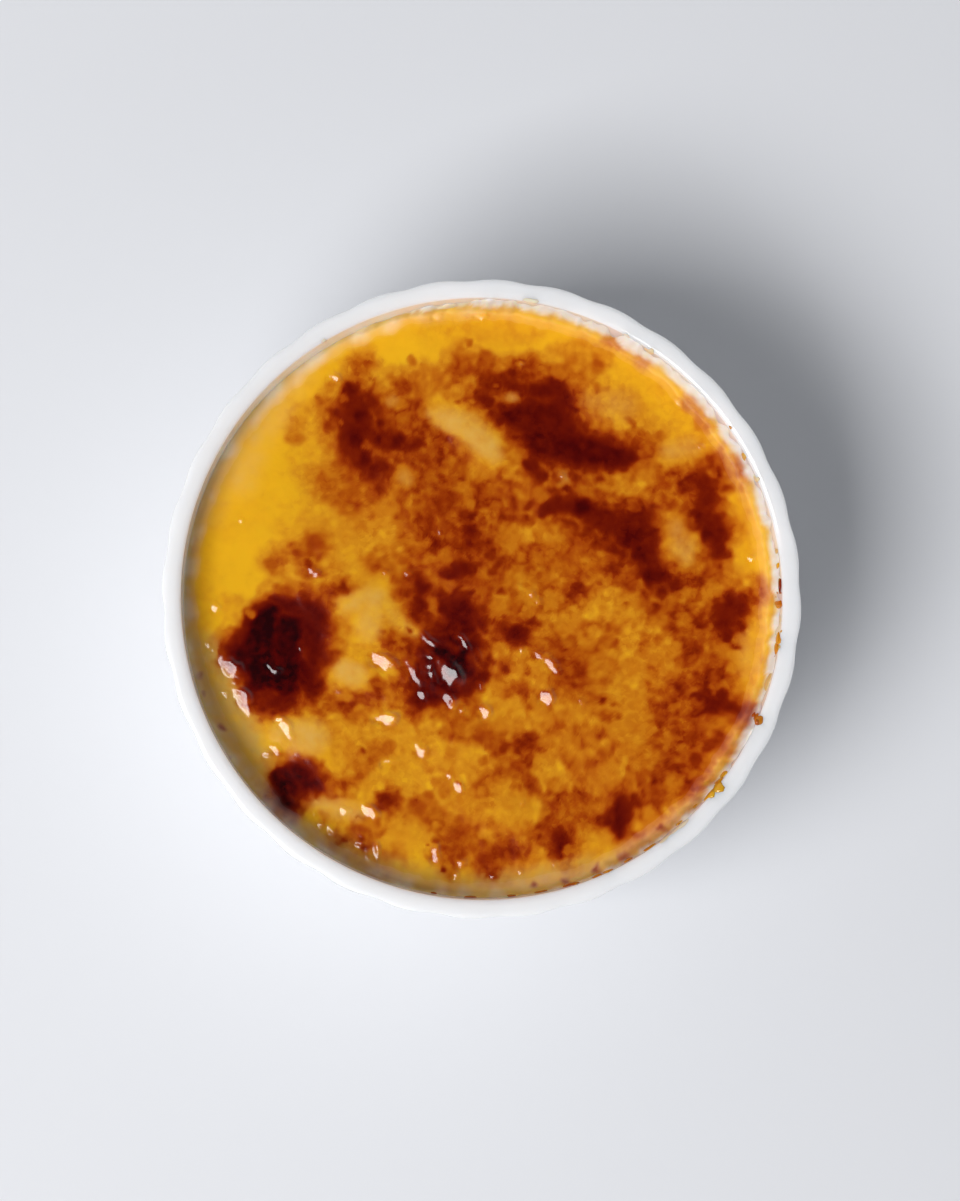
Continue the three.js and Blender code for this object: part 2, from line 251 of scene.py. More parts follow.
        (0.84, [(23.6, 9.4, 2.8), (23.6, 6.6, 2.6), (25.4, 3.8, 2)]),
        (0.74, [(25.4, 2.4, 1.6), (28, 2.6, 1.2), (31.6, 2.8, 0.8)]),
        (0.62, [(17.6, 9.4, 1.4), (14.4, 8.6, 1.2)]),
        (0.8, [(30.2, 16.8, 1), (32, 17, 2.2), (32.8, 14.2, 2.3)]), (0.62, [(25.8, 15.8, 1), (27.4, 14, 1)]),
        (0.66, [(28.2, 18.4, 0.9), (27.4, 18, 0.7)]), (0.7, [(34.2, 18.8, 1.2), (33.2, 20.4, 0.6)]),
        (0.82, [(31.6, 12.2, 1), (33.8, 11, 2.3), (34.8, 8.2, 1.9)]),
        (0.6, [(31.4, 1.2, 1.3), (30.4, 0.2, 0.9)]), (0.66, [(34.2, 6.4, 1.3), (33.4, 4.4, 1)]),
        (0.74, [(13.8, 1.5, 0.8), (14.4, 2, 0.6)]),
        (0.46, [(11.4, -0.4, 0.6), (14, 0.8, 0.6), (17, 2.6, 0.6)]),
        (0.76, [(18.6, 4.6, 0.6), (19.8, 4.2, 0.6)]), (0.46, [(7.4, 4.8, 1.4), (5, 4.4, 1)]),
        (0.86, [(4.4, -4.4, 1.2), (6.6, -4.6, 1.1)]), (0.66, [(8.2, -2.9, 0.6), (3.9, -2.6, 0.5)]),
        (0.7, [(4.2, -9.5, 0.4), (4, -9.9, 0.3)]), (0.62, [(6.2, -12.4, 0.4), (6.4, -13.2, 0.4)]),
        (0.57, [(12, -7.4, 1.3), (14.2, -9.6, 1.9), (13, -11.8, 1.1)]),
        (0.72, [(14.2, -10.1, 0.9), (14.6, -10.6, 0.7)]), (0.74, [(18, -14, 0.4), (18.2, -14.2, 0.3)]),
        (0.55, [(18, -18.6, 0.3), (19.6, -16.4, 0.3)]), (0.52, [(19.8, -5.9, 0.4), (18.4, -4.4, 0.5)]),
        # right edge
        (0.82, [(36.8, 0.4, 1.9), (35.8, -2.2, 2.4), (36, -4.8, 1.2)]), (0.64, [(39, 1.4, 1), (37, 2, 1)]),
        (0.56, [(30.6, -6.4, 0.7), (31.4, -6.8, 0.6)]), (0.44, [(36.8, -11.6, 0.9), (37.2, -12.4, 0.6)]),
        (0.6, [(27.6, -3.6, 0.6), (28, -3.8, 0.5)]), (0.68, [(34.4, -9.6, 1.7), (32.4, -11.4, 2.2)]),
        (0.84, [(31.8, -14.2, 1.9), (34.4, -14.2, 1.8), (37.2, -15.6, 0.9)]),
        (0.74, [(38.6, -16.4, 0.8), (40.6, -17.2, 0.8)]), (0.76, [(28.6, -12.2, 0.8), (28.9, -12.5, 0.6)]),
        (0.58, [(27.2, -14.6, 1), (27, -18.4, 1.6), (30.4, -18.6, 1)]),
        (0.66, [(34.2, -19.8, 1), (32.4, -20.8, 0.8)]),
        (0.7, [(31.2, -22, 0.8), (29.4, -23.4, 1), (30, -25.6, 1)]),
        (0.56, [(24.6, -23.8, 1.2), (25.4, -26.6, 1.2)]),
        # lower right
        (0.9, [(20.2, -29.2, 1.4), (20.8, -31.6, 1.5)]), (0.74, [(18.4, -30.6, 1), (22.4, -27.8, 0.8)]),
        (0.9, [(11.8, -33.6, 1.4), (11.8, -35.6, 1.1)]), (0.62, [(13.6, -32.2, 0.8), (11.4, -29.6, 0.9)]),
        (0.68, [(3.4, -20.4, 0.7), (5.8, -20.6, 1), (8.4, -19.6, 0.6)]),
        (0.54, [(5.6, -23.2, 0.7), (7.8, -26.2, 0.6)]), (0.54, [(14.4, -26.6, 0.9), (15.2, -27.6, 0.7)]),
        (0.48, [(17.8, -21.6, 0.6), (14.4, -23.4, 0.8)]),
    ],
    # places that the flame passed over, with what burn is left there: burn, softness, chain
    "clean": [
        (0.15, 1.6, [(-7.2, 27, 0.5), (-5, 26.2, 1.9), (-1.4, 24.8, 2.1), (1.3, 22.2, 2), (2.9, 20.4, 1.2)]),
        (0.12, 1.4, [(-34.2, -0.4, 1.4), (-34.6, -2.6, 0.9)]),
        (0.29, 1.4, [(27.6, 12.6, 0.4), (28.3, 10.8, 1.3), (29.2, 8, 2.2), (29.7, 6.2, 1.4)]),
        (0.15, 1.2, [(-18.4, -10.4, 1.9), (-16.8, -10.8, 1.7)]),
        (0.1, 1.5, [(-18.4, -0.6, 1.4), (-14.6, 0.6, 2), (-15.4, -4, 1.9)]),
        (0.13, 1.2, [(-14.6, 1.6, 1.2), (-11.6, -2.4, 1), (-8.8, -4.6, 0.6)]),
        (0.12, 1.6, [(-27, -18.6, 1.4), (-23.4, -19.2, 1.8)]),
        (0.39, 1.4, [(16.6, 17.2, 0.3), (20.4, 17.6, 0.6), (25.4, 18.8, 0.8)]),
        (0.2, 1.6, [(27.4, 21.6, 1.4), (30.4, 22.2, 1.6)]),
        (0.18, 2, [(0.8, -28.8, 0.8), (4, -30, 1.6), (7.4, -29.6, 1.8)]),
        (0.26, 2, [(14.4, -1.4, 1), (19.8, -0.2, 1)]),
        (0.25, 3, [(21.4, -4, 1.4), (20.8, -10.6, 2.4), (20.6, -15.8, 1.8)]),
        (0.26, 2.4, [(10.4, -15.6, 1.2), (16.4, -17, 1.2)]), (0.3, 2, [(5.6, 9.4, 1.2), (11, 9.8, 1.2)]),
        (0.12, 1.8, [(39.4, -3.6, 0.8), (38.6, -9.4, 0.8), (38.6, -12.4, 0.5)]),
        (0.08, 2.4, [(20, 33, 1), (26, 29.2, 1.6), (29.4, 26, 1)]),
        (0.08, 2.4, [(37.4, 13.4, 0.9), (36.4, 16.6, 0.7)]),
        (0.22, 1.8, [(40.4, -19, 0.8), (35.6, -27, 1), (29, -33, 0.8)]),
        (0.1, 1.8, [(38.2, 8, 1.2), (38.4, 5.4, 1)]), (0.22, 2.4, [(16.6, 28.6, 0.6), (20.6, 28.2, 2)]),
        (0.14, 2, [(16.8, -34, 0.8), (18.4, -33.4, 0.8)]), (0.2, 1.2, [(-28.8, -22.9, 0.8)]),
        (0.05, 2.4, [(-31.6, -24.4, 1.4)]), (0, 5, cleanArc),
        (0.3, 1.4, [(-18.5, -13.9, 0.8)]), (0.22, 1.2, [(-20.6, 30, 0.8)]), (0.16, 1.4, [(22.9, -31.8, 0.8)]),
        (0.32, 1, [(-6.1, -31.9, 0.7)]), (0.14, 1.4, [(-33, -19.8, 1)]), (0.36, 1.2, [(17.9, 6.1, 0.6)]),
        (0.3, 1.2, [(24.9, -15.3, 0.6)]), (0.34, 1.2, [(15.1, 0.2, 0.6)]), (0.36, 1.2, [(32.3, -7.2, 0.8)]),
        (0.22, 1.2, [(7.5, -8.9, 0.6)]), (0.22, 1.2, [(3.8, 33.3, 0.6)]), (0.3, 1, [(4.3, 13.7, 0.5)]),
        (0.25, 1.4, [(8.5, -0.3, 0.8), (7.6, 0.6, 0.6)]), (0.26, 1.2, [(36, 3.8, 0.7)]),
        (0.36, 1.2, [(-3.4, -16.6, 0.7)]), (0.2, 1.2, [(-20.6, 20.4, 0.7)]),
    ],
    # blisters of paler skin between the burnt grains: x, y, radius, burn
    "blisters": [
        (17.5, -0.5, 2.2, 0.22), (13, -3, 2, 0.26), (23, -9, 2.5, 0.26), (22.5, -13, 2.2, 0.26),
        (23, -17, 2, 0.26), (14, -16, 1.5, 0.24), (3.5, -16.5, 2, 0.24), (8.8, -9.5, 1.5, 0.26),
        (8.8, -11.5, 1.4, 0.24), (19.8, -18.2, 1.6, 0.27), (29.5, -2.4, 1.3, 0.3), (28, -6.8, 1.3, 0.28),
        (26, -8.5, 1.2, 0.28), (32.5, 1.2, 1.4, 0.3), (35, -7, 1.6, 0.33), (29.5, -14.6, 1.3, 0.34),
        (36.8, -8.5, 1.6, 0.2), (33.8, -11.6, 1.2, 0.5), (9.8, -23.4, 2, 0.24), (11.5, -26, 1.2, 0.3),
        (18.4, -24.6, 2, 0.26), (6, -29.8, 2.8, 0.19), (17.2, -33.8, 1.3, 0.2), (13.5, -20.8, 1.5, 0.32),
        (8.6, -36.2, 1.4, 0.24), (3.2, -27, 1.4, 0.25), (21.5, -24.8, 1, 0.32), (27.8, -25.6, 1.6, 0.3),
        (34.2, -26.6, 1.4, 0.12), (32.4, -28.2, 1.2, 0.16), (30.6, -28.4, 1, 0.26), (23.8, -34, 1.2, 0.16),
        (1.7, 18.6, 1.4, 0.25), (-1.7, 15.9, 1.3, 0.3), (-1.2, 14.2, 0.9, 0.34), (-10, 17.7, 1.6, 0.3),
        (-4.6, 6.5, 1.2, 0.32), (-6.7, 6, 0.9, 0.38), (-7.1, 8.3, 0.8, 0.42), (-4.1, 2.3, 1.2, 0.42),
        (-6.1, -0.6, 1.1, 0.42), (0.9, 3.8, 1.1, 0.36), (5, 9, 2.2, 0.3), (9, 10.4, 1.6, 0.28),
        (2.7, 13.4, 0.9, 0.42), (9, 15.4, 1.2, 0.38), (-20.3, 31.8, 0.8, 0.2), (-14.4, 31.8, 0.5, 0.26),
        (-12, 28.4, 1.2, 0.28), (-19.2, 25.3, 0.7, 0.5), (-19.8, 29.6, 0.8, 0.4), (-15.7, 22.1, 0.8, 0.52),
        (-9.6, 32, 0.9, 0.3), (-10.2, 17.6, 1.8, 0.34), (-13.1, 12.6, 1.8, 0.25), (-10.5, 26, 1, 0.48),
        (5, 29, 1.3, 0.36), (2.4, 30.6, 0.6, 0.48), (12.2, 17.6, 1.4, 0.34), (22, 13.6, 0.6, 0.6),
        (6.2, 33.7, 0.6, 0.34), (11.6, 32.6, 1.2, 0.36), (4, 34.4, 1.4, 0.33), (26.7, 21.1, 1.3, 0.26),
        (33.5, 1.9, 1.5, 0.3), (30.1, 1.4, 1.2, 0.3), (19, 1.1, 1.2, 0.24), (18.5, 3.6, 0.8, 0.44),
        (-2.6, 29.5, 0.8, 0.34), (-1, 28.5, 0.5, 0.4), (20.4, 28.5, 1.8, 0.2), (28.8, 22.2, 2, 0.2),
        (-1.5, -22.3, 1.7, 0.23), (-1.5, -28.5, 1.6, 0.21), (-8.5, -33.5, 2, 0.16), (2.8, -26.2, 1.2, 0.24),
        (9.3, -22.9, 1.4, 0.24), (-5.8, -31.6, 0.8, 0.2), (-9.2, -24.6, 2.2, 0.13), (-19, -29.8, 2, 0.12),
        (-22.8, 10.8, 1.6, 0.2), (-7.6, 27, 1, 0.4), (-5.6, 24.6, 0.9, 0.4), (6.4, -7.6, 1.3, 0.26),
        (3.2, -7, 1.3, 0.3), (2.6, -12.6, 1.5, 0.26), (10.4, 0.6, 1.2, 0.3), (16, -5.6, 1.2, 0.34),
        (-10.8, 10.6, 1.2, 0.32), (-17.4, 8, 1.8, 0.16), (-12, -10.6, 1.2, 0.28), (-17.6, -27.4, 1.2, 0.22),
        (9, -14.7, 1.3, 0.22), (0, -30.6, 1.2, 0.16), (24.5, -30.1, 1.2, 0.2), (35.9, 5.6, 0.9, 0.36),
        (22.5, 13.7, 0.9, 0.46), (31.4, -14.6, 1, 0.46), (24.9, -18.1, 1, 0.26), (12.9, -35.4, 0.8, 0.4),
        (-10.8, 28.2, 0.9, 0.26), (7.3, -1.5, 1, 0.28), (-32.1, -1.7, 0.9, 0.26), (7.9, -8.8, 1, 0.22),
        (36, 4.7, 0.9, 0.32), (-18.5, -13.4, 1.1, 0.26), (-12.7, -19.1, 0.9, 0.22), (15.2, 0.1, 0.9, 0.28),
        (27.9, 4.4, 0.9, 0.42), (28, -14.9, 0.9, 0.4), (8.2, -13.9, 1, 0.24), (12.9, -6, 0.9, 0.32),
        (6.1, 6.3, 0.9, 0.26), (-21.4, 19.2, 0.8, 0.24), (-18.8, 28.6, 0.8, 0.44), (29.1, -20.8, 0.9, 0.36),
    ],
    # grains that burnt more than the sugar round them: x, y, radius, burn
    "grains": [
        (20, -16.2, 0.5, 0.55), (18.8, -16.6, 0.5, 0.55), (19.7, -6, 0.6, 0.56), (18.5, -3.8, 0.6, 0.55),
        (10.8, -6.2, 0.8, 0.6), (10, -5.5, 0.5, 0.56), (12, -9.6, 0.7, 0.58), (4.1, -9.6, 0.6, 0.72),
        (6.2, -12.6, 0.6, 0.62), (18.1, -14, 0.5, 0.76), (18, -18.6, 0.4, 0.58), (3.9, -2.4, 0.6, 0.66),
        (8.2, -2.6, 0.6, 0.66), (27.6, -3.4, 0.7, 0.62), (30.8, -6.4, 1.1, 0.66), (31.6, -2.2, 0.7, 0.55),
        (28.6, -12.2, 0.9, 0.76), (25.8, -5.4, 0.7, 0.5), (29.3, -7.9, 0.7, 0.5), (37, -15.4, 0.9, 0.7),
        (28.4, -18.3, 0.9, 0.62), (30.4, -19.2, 0.9, 0.62), (33, -20.6, 1.1, 0.68), (26.5, -16, 0.9, 0.5),
        (6.2, -20.6, 1, 0.7), (3.8, -20.8, 0.7, 0.66), (7.8, -20.6, 0.6, 0.66), (5.5, -23.4, 0.8, 0.6),
        (8, -25.6, 0.7, 0.5), (6, -26.4, 0.6, 0.5), (15, -27.6, 0.9, 0.6), (10.8, -28.8, 0.8, 0.6),
        (13.6, -32.4, 0.9, 0.66), (22.8, -28.4, 0.9, 0.74), (5, -36, 1.1, 0.62), (2.2, -36, 1, 0.62),
        (17.6, -21.6, 0.6, 0.5), (16.4, -23, 0.6, 0.5), (20.8, -36.4, 0.9, 0.6), (17, -38, 0.6, 0.55),
        (12.5, -39.6, 0.6, 0.55), (8, -40, 0.6, 0.55), (31.2, -22.2, 0.9, 0.7), (25.2, -26.6, 0.9, 0.58),
        (25.8, -28.8, 0.9, 0.62), (23.4, -24.6, 0.8, 0.52), (26.2, -31.9, 0.5, 0.6), (-6.7, 11.2, 1.2, 0.66),
        (-3.8, 14.6, 1.2, 0.64), (-3.4, 10.4, 0.8, 0.66), (-5.7, 8.6, 0.7, 0.66), (-1.7, 11.7, 0.9, 0.66),
        (-0.7, 9.1, 0.9, 0.74), (-2.5, 7.8, 0.9, 0.7), (-2.6, 4.6, 1, 0.86), (1.9, 6.5, 0.8, 0.7),
        (3.1, 5.2, 0.7, 0.7), (3.3, 3.6, 0.6, 0.58), (-7.8, 2, 1.1, 0.87), (-7.9, -0.4, 1, 0.86),
        (-3.1, -1.2, 1.1, 0.9), (9.6, 13.1, 0.9, 0.8), (11.7, 14.1, 0.9, 0.84), (7.7, 6.5, 0.6, 0.52),
        (8, 4.8, 0.6, 0.52), (-17.8, 30.2, 0.9, 0.84), (-20.2, 26.8, 1, 0.8), (-16.8, 26.3, 1.1, 0.92),
        (-17.3, 23.1, 1.2, 0.93), (-11.3, 22.8, 1, 0.9), (-8.1, 22.3, 0.8, 0.8), (-16, 20, 1.1, 0.9),
        (-12.6, 18.6, 0.8, 0.7), (-13.6, 16, 0.9, 0.68), (-7, 20, 0.9, 0.66), (-15.5, 18.1, 0.8, 0.68),
        (-14.7, 28.4, 0.8, 0.78), (-14, 22.9, 0.5, 0.92), (-17, 33.4, 0.8, 0.48), (-10, 30.7, 0.8, 0.58),
        (-9.2, 34.2, 0.7, 0.42), (-22.3, 28.4, 0.8, 0.48), (-21, 24.7, 0.8, 0.64), (-22, 17.3, 0.9, 0.46),
        (-20.7, 16.2, 0.8, 0.44), (-7.8, 29.4, 0.8, 0.42), (-4.5, 21.8, 0.9, 0.5), (-4.2, 16.8, 0.7, 0.56),
        (-6.5, 12.8, 0.7, 0.6), (1.8, 31.5, 0.8, 0.7), (1.6, 28.6, 0.9, 0.82), (7.6, 19.2, 0.9, 0.84),
        (9.2, 17.8, 0.7, 0.8), (20.5, 19.4, 0.8, 0.76), (15, 13.5, 1.2, 0.95), (22.8, 13.4, 0.6, 0.66),
        (17.1, 33.9, 0.6, 0.5), (12.9, 33.4, 0.7, 0.46), (21.8, 25.7, 0.6, 0.5), (22, 9.3, 1.4, 0.92),
        (23.3, 6.9, 1.2, 0.92), (24.6, 3.5, 1.1, 0.9), (26.4, 1.4, 0.9, 0.82), (31.7, 12.4, 0.9, 0.88),
        (32.9, 9.8, 1, 0.88), (34.8, 8.2, 0.8, 0.82), (35.1, 6.9, 0.8, 0.72), (27, 16.6, 0.8, 0.56),
        (33, 20.3, 0.7, 0.6), (32, 3.2, 0.8, 0.7), (19.2, 5, 0.8, 0.76), (-1.3, 36.9, 0.6, 0.45),
        (1.3, 35, 0.6, 0.5), (-2.6, 28.3, 0.5, 0.52), (30.4, 28.2, 1.3, 0.26), (31.8, 25.4, 0.9, 0.26),
        (20.4, 36.1, 0.6, 0.3), (18.4, 30.3, 0.6, 0.3), (22.3, 25.2, 0.6, 0.5), (26.2, 23.6, 0.7, 0.42),
        (-28.8, 5.2, 1, 0.5), (-26.4, 7.7, 0.5, 0.5), (-25.3, 6.8, 0.7, 0.58), (-23, 8, 1.5, 0.58),
        (-24, 5.2, 0.8, 0.68), (-25.8, 23, 1.2, 0.34), (-20, 19.6, 0.6, 0.44), (-12.2, -5.8, 0.9, 0.64),
        (-13.2, -4.4, 0.6, 0.46), (-14, -11.6, 0.8, 0.56), (-15.6, -13.6, 0.8, 0.6),
        (-16.2, -21.3, 0.5, 0.58), (-14, -21.2, 0.7, 0.44), (-16.8, -24.7, 0.5, 0.5),
        (-12.6, -28.3, 1.1, 0.74), (-8.2, -29.4, 1.1, 0.5), (-6.8, -27.4, 0.6, 0.48), (-2.8, -33, 1.3, 0.56),
        (-2.5, -31, 0.8, 0.48), (-4.4, -27, 0.8, 0.36), (1.2, -36.6, 1, 0.66), (-0.6, -35, 0.8, 0.54),
        (-4.8, -38, 0.5, 0.74), (-5.7, -33.7, 0.5, 0.6), (-6.8, -34.4, 0.3, 0.52), (2.2, -38.2, 0.6, 0.52),
        (0.3, -19.3, 0.6, 0.6), (-18.6, -33.5, 0.7, 0.62), (-16.4, -33.6, 0.6, 0.64), (-15.5, -35, 0.5, 0.58),
        (-18.9, 2, 0.9, 0.74), (-2.8, -25.7, 0.3, 0.6), (14.3, -9.8, 0.9, 0.66), (13, -12.6, 0.8, 0.5),
        (5.4, -4.6, 1.3, 0.88), (13.9, 1.8, 0.7, 0.74), (15.4, 24.7, 0.8, 0.74), (7.4, 13.6, 0.8, 0.7),
        (2.2, 4.3, 0.8, 0.64), (-14.1, -31.2, 0.7, 0.44), (-9.5, 1.4, 0.8, 0.7), (11.2, 17.7, 0.8, 0.62),
        (2.7, -5.1, 0.8, 0.58), (23.3, -25.8, 0.8, 0.62), (-1, 1.3, 0.8, 0.76), (0.9, 11.3, 0.7, 0.62),
        (8.1, 32.3, 0.8, 0.64), (19.4, -14.4, 0.6, 0.52), (9.8, -34.7, 0.7, 0.52), (15.9, 10.4, 0.7, 0.76),
        (2.4, 26.5, 0.8, 0.76), (-8.1, 6.6, 0.8, 0.56), (17.2, 30.3, 0.8, 0.46), (-10.5, 5.6, 0.7, 0.52),
        (7.9, 11, 0.6, 0.56), (-13.9, 25.2, 0.8, 0.86), (14.4, 25.7, 0.8, 0.74), (3.4, 1.4, 0.7, 0.66),
        (5.2, -6.7, 0.7, 0.52), (9.6, -29.4, 0.8, 0.48), (9.9, -34.4, 0.7, 0.58), (17.5, 17.5, 0.7, 0.66),
        (-22.4, 6, 0.7, 0.56), (-7.8, 20.1, 0.8, 0.62), (35.6, 16.4, 1, 0.62), (0.8, -22.5, 0.7, 0.44),
        (-9.6, -4.1, 0.7, 0.62), (-36, -18, 0.6, 0.55), (-39, -10.6, 0.5, 0.48), (-35, -22, 0.4, 0.44),
        (-38.4, -13, 0.4, 0.4),
    ],
}


def burnAt(x, y):
    # The highest of the washes and marks at each point, lowered to what is left at the clean places. The
    # points are first pushed about by two ripples, which frays every edge. The skin then domes up between
    # darker seams, and single blisters and burnt grains are laid over it.
    far, farLength, near, nearLength = crust["warp"]
    nearX, nearY = ripple(x, y, nearLength, 12), ripple(x, y, nearLength, 14)
    wx = x + far * ripple(x, y, farLength, 11) + near * nearX
    wy = y + far * ripple(x, y, farLength, 13) + near * nearY
    burn = np.zeros(np.shape(x))
    for level, soft, chain in crust["washes"]:
        burn = np.maximum(burn, level * (1 - smooth(outside(wx, wy, chain), -soft / 2, soft / 2)))
    length, flicker, mean = crust["flicker"]
    burn = burn * (mean + flicker * layered(x, y, length, 21))
    length, tide = crust["tide"]
    burn = burn + tide * smooth(layered(x, y, length, 22, 2), -0.5, 0.6)
    halo, falloff = crust["halo"]
    dim, least, wide = crust["skirt"]
    for level, chain in crust["marks"]:
        out = outside(wx, wy, chain)
        radius = max(disc[2] for disc in chain)
        core = level * (1 - smooth(out, -0.5 * halo, halo)) ** falloff
        skirt = dim * level * (1 - smooth(out, 0, least + wide * radius))
        burn = np.maximum(burn, np.maximum(core, burn * (1 - skirt) + skirt * dim))
    for level, soft, chain in crust["clean"]:
        keep = smooth(outside(wx, wy, chain), -soft / 2, soft / 2 + 0.4)
        burn = level + (burn - level) * keep

    (coarse, strong), (fine, weak) = crust["mottle"]
    mottle = strong * layered(x, y, coarse, 31, 2) + weak * ripple(x, y, fine, 35)
    for (size, depth), seed in zip(crust["cobbles"], (42, 43)):
        nearest, share = cells(x + 0.3 * size * nearX, y + 0.3 * size * nearY, size, seed)
        mottle = mottle + depth * (smooth(nearest, 0.1, 0.85) - 0.5) * (0.5 + share)
    size, depth = crust["pits"]
    nearest, share = cells(x, y, size, 41)
    mottle = mottle + depth * (share - 0.5) * (1 - smooth(nearest, 0.2, 0.8))
    # clean custard and charred sugar are both more even than the amber between
    least, more, low, high = crust["cleanUneven"]
    shown = least + more * smooth(burn, low, high)
    less, low, high = crust["charUneven"]
    shown = shown * (1 - less * smooth(burn, low, high))
    burn = burn + mottle * shown

    wander, length, fray = crust["fray"]
    sx, sy = x + wander * nearX, y + wander * nearY
    frayed = 1 + fray * ripple(x, y, length, 36)
    paler, inner, outer = crust["blisterFade"]
    seam, size, *edges = crust["seam"]
    start, full, end, fade = crust["seamBurn"]
    for px, py, radius, level in crust["blisters"]:
        away = np.hypot(sx - px, sy - py) / radius * frayed
        ring = 1 - smooth(np.abs(away - size), *edges)
        ring = ring * smooth(burn, start, full) * smooth(end - burn, 0, fade)
        lower = np.minimum(level - burn, 0) * paler * (1 - smooth(away, inner, outer))
        burn = burn + seam * ring + lower
    for px, py, radius, level in crust["grains"]:
        cover = 1 - smooth(np.hypot(sx - px, sy - py) / radius, *crust["grainFade"])
        burn = burn + np.maximum(level - burn, 0) * cover
    return np.clip(burn, 0, 1)


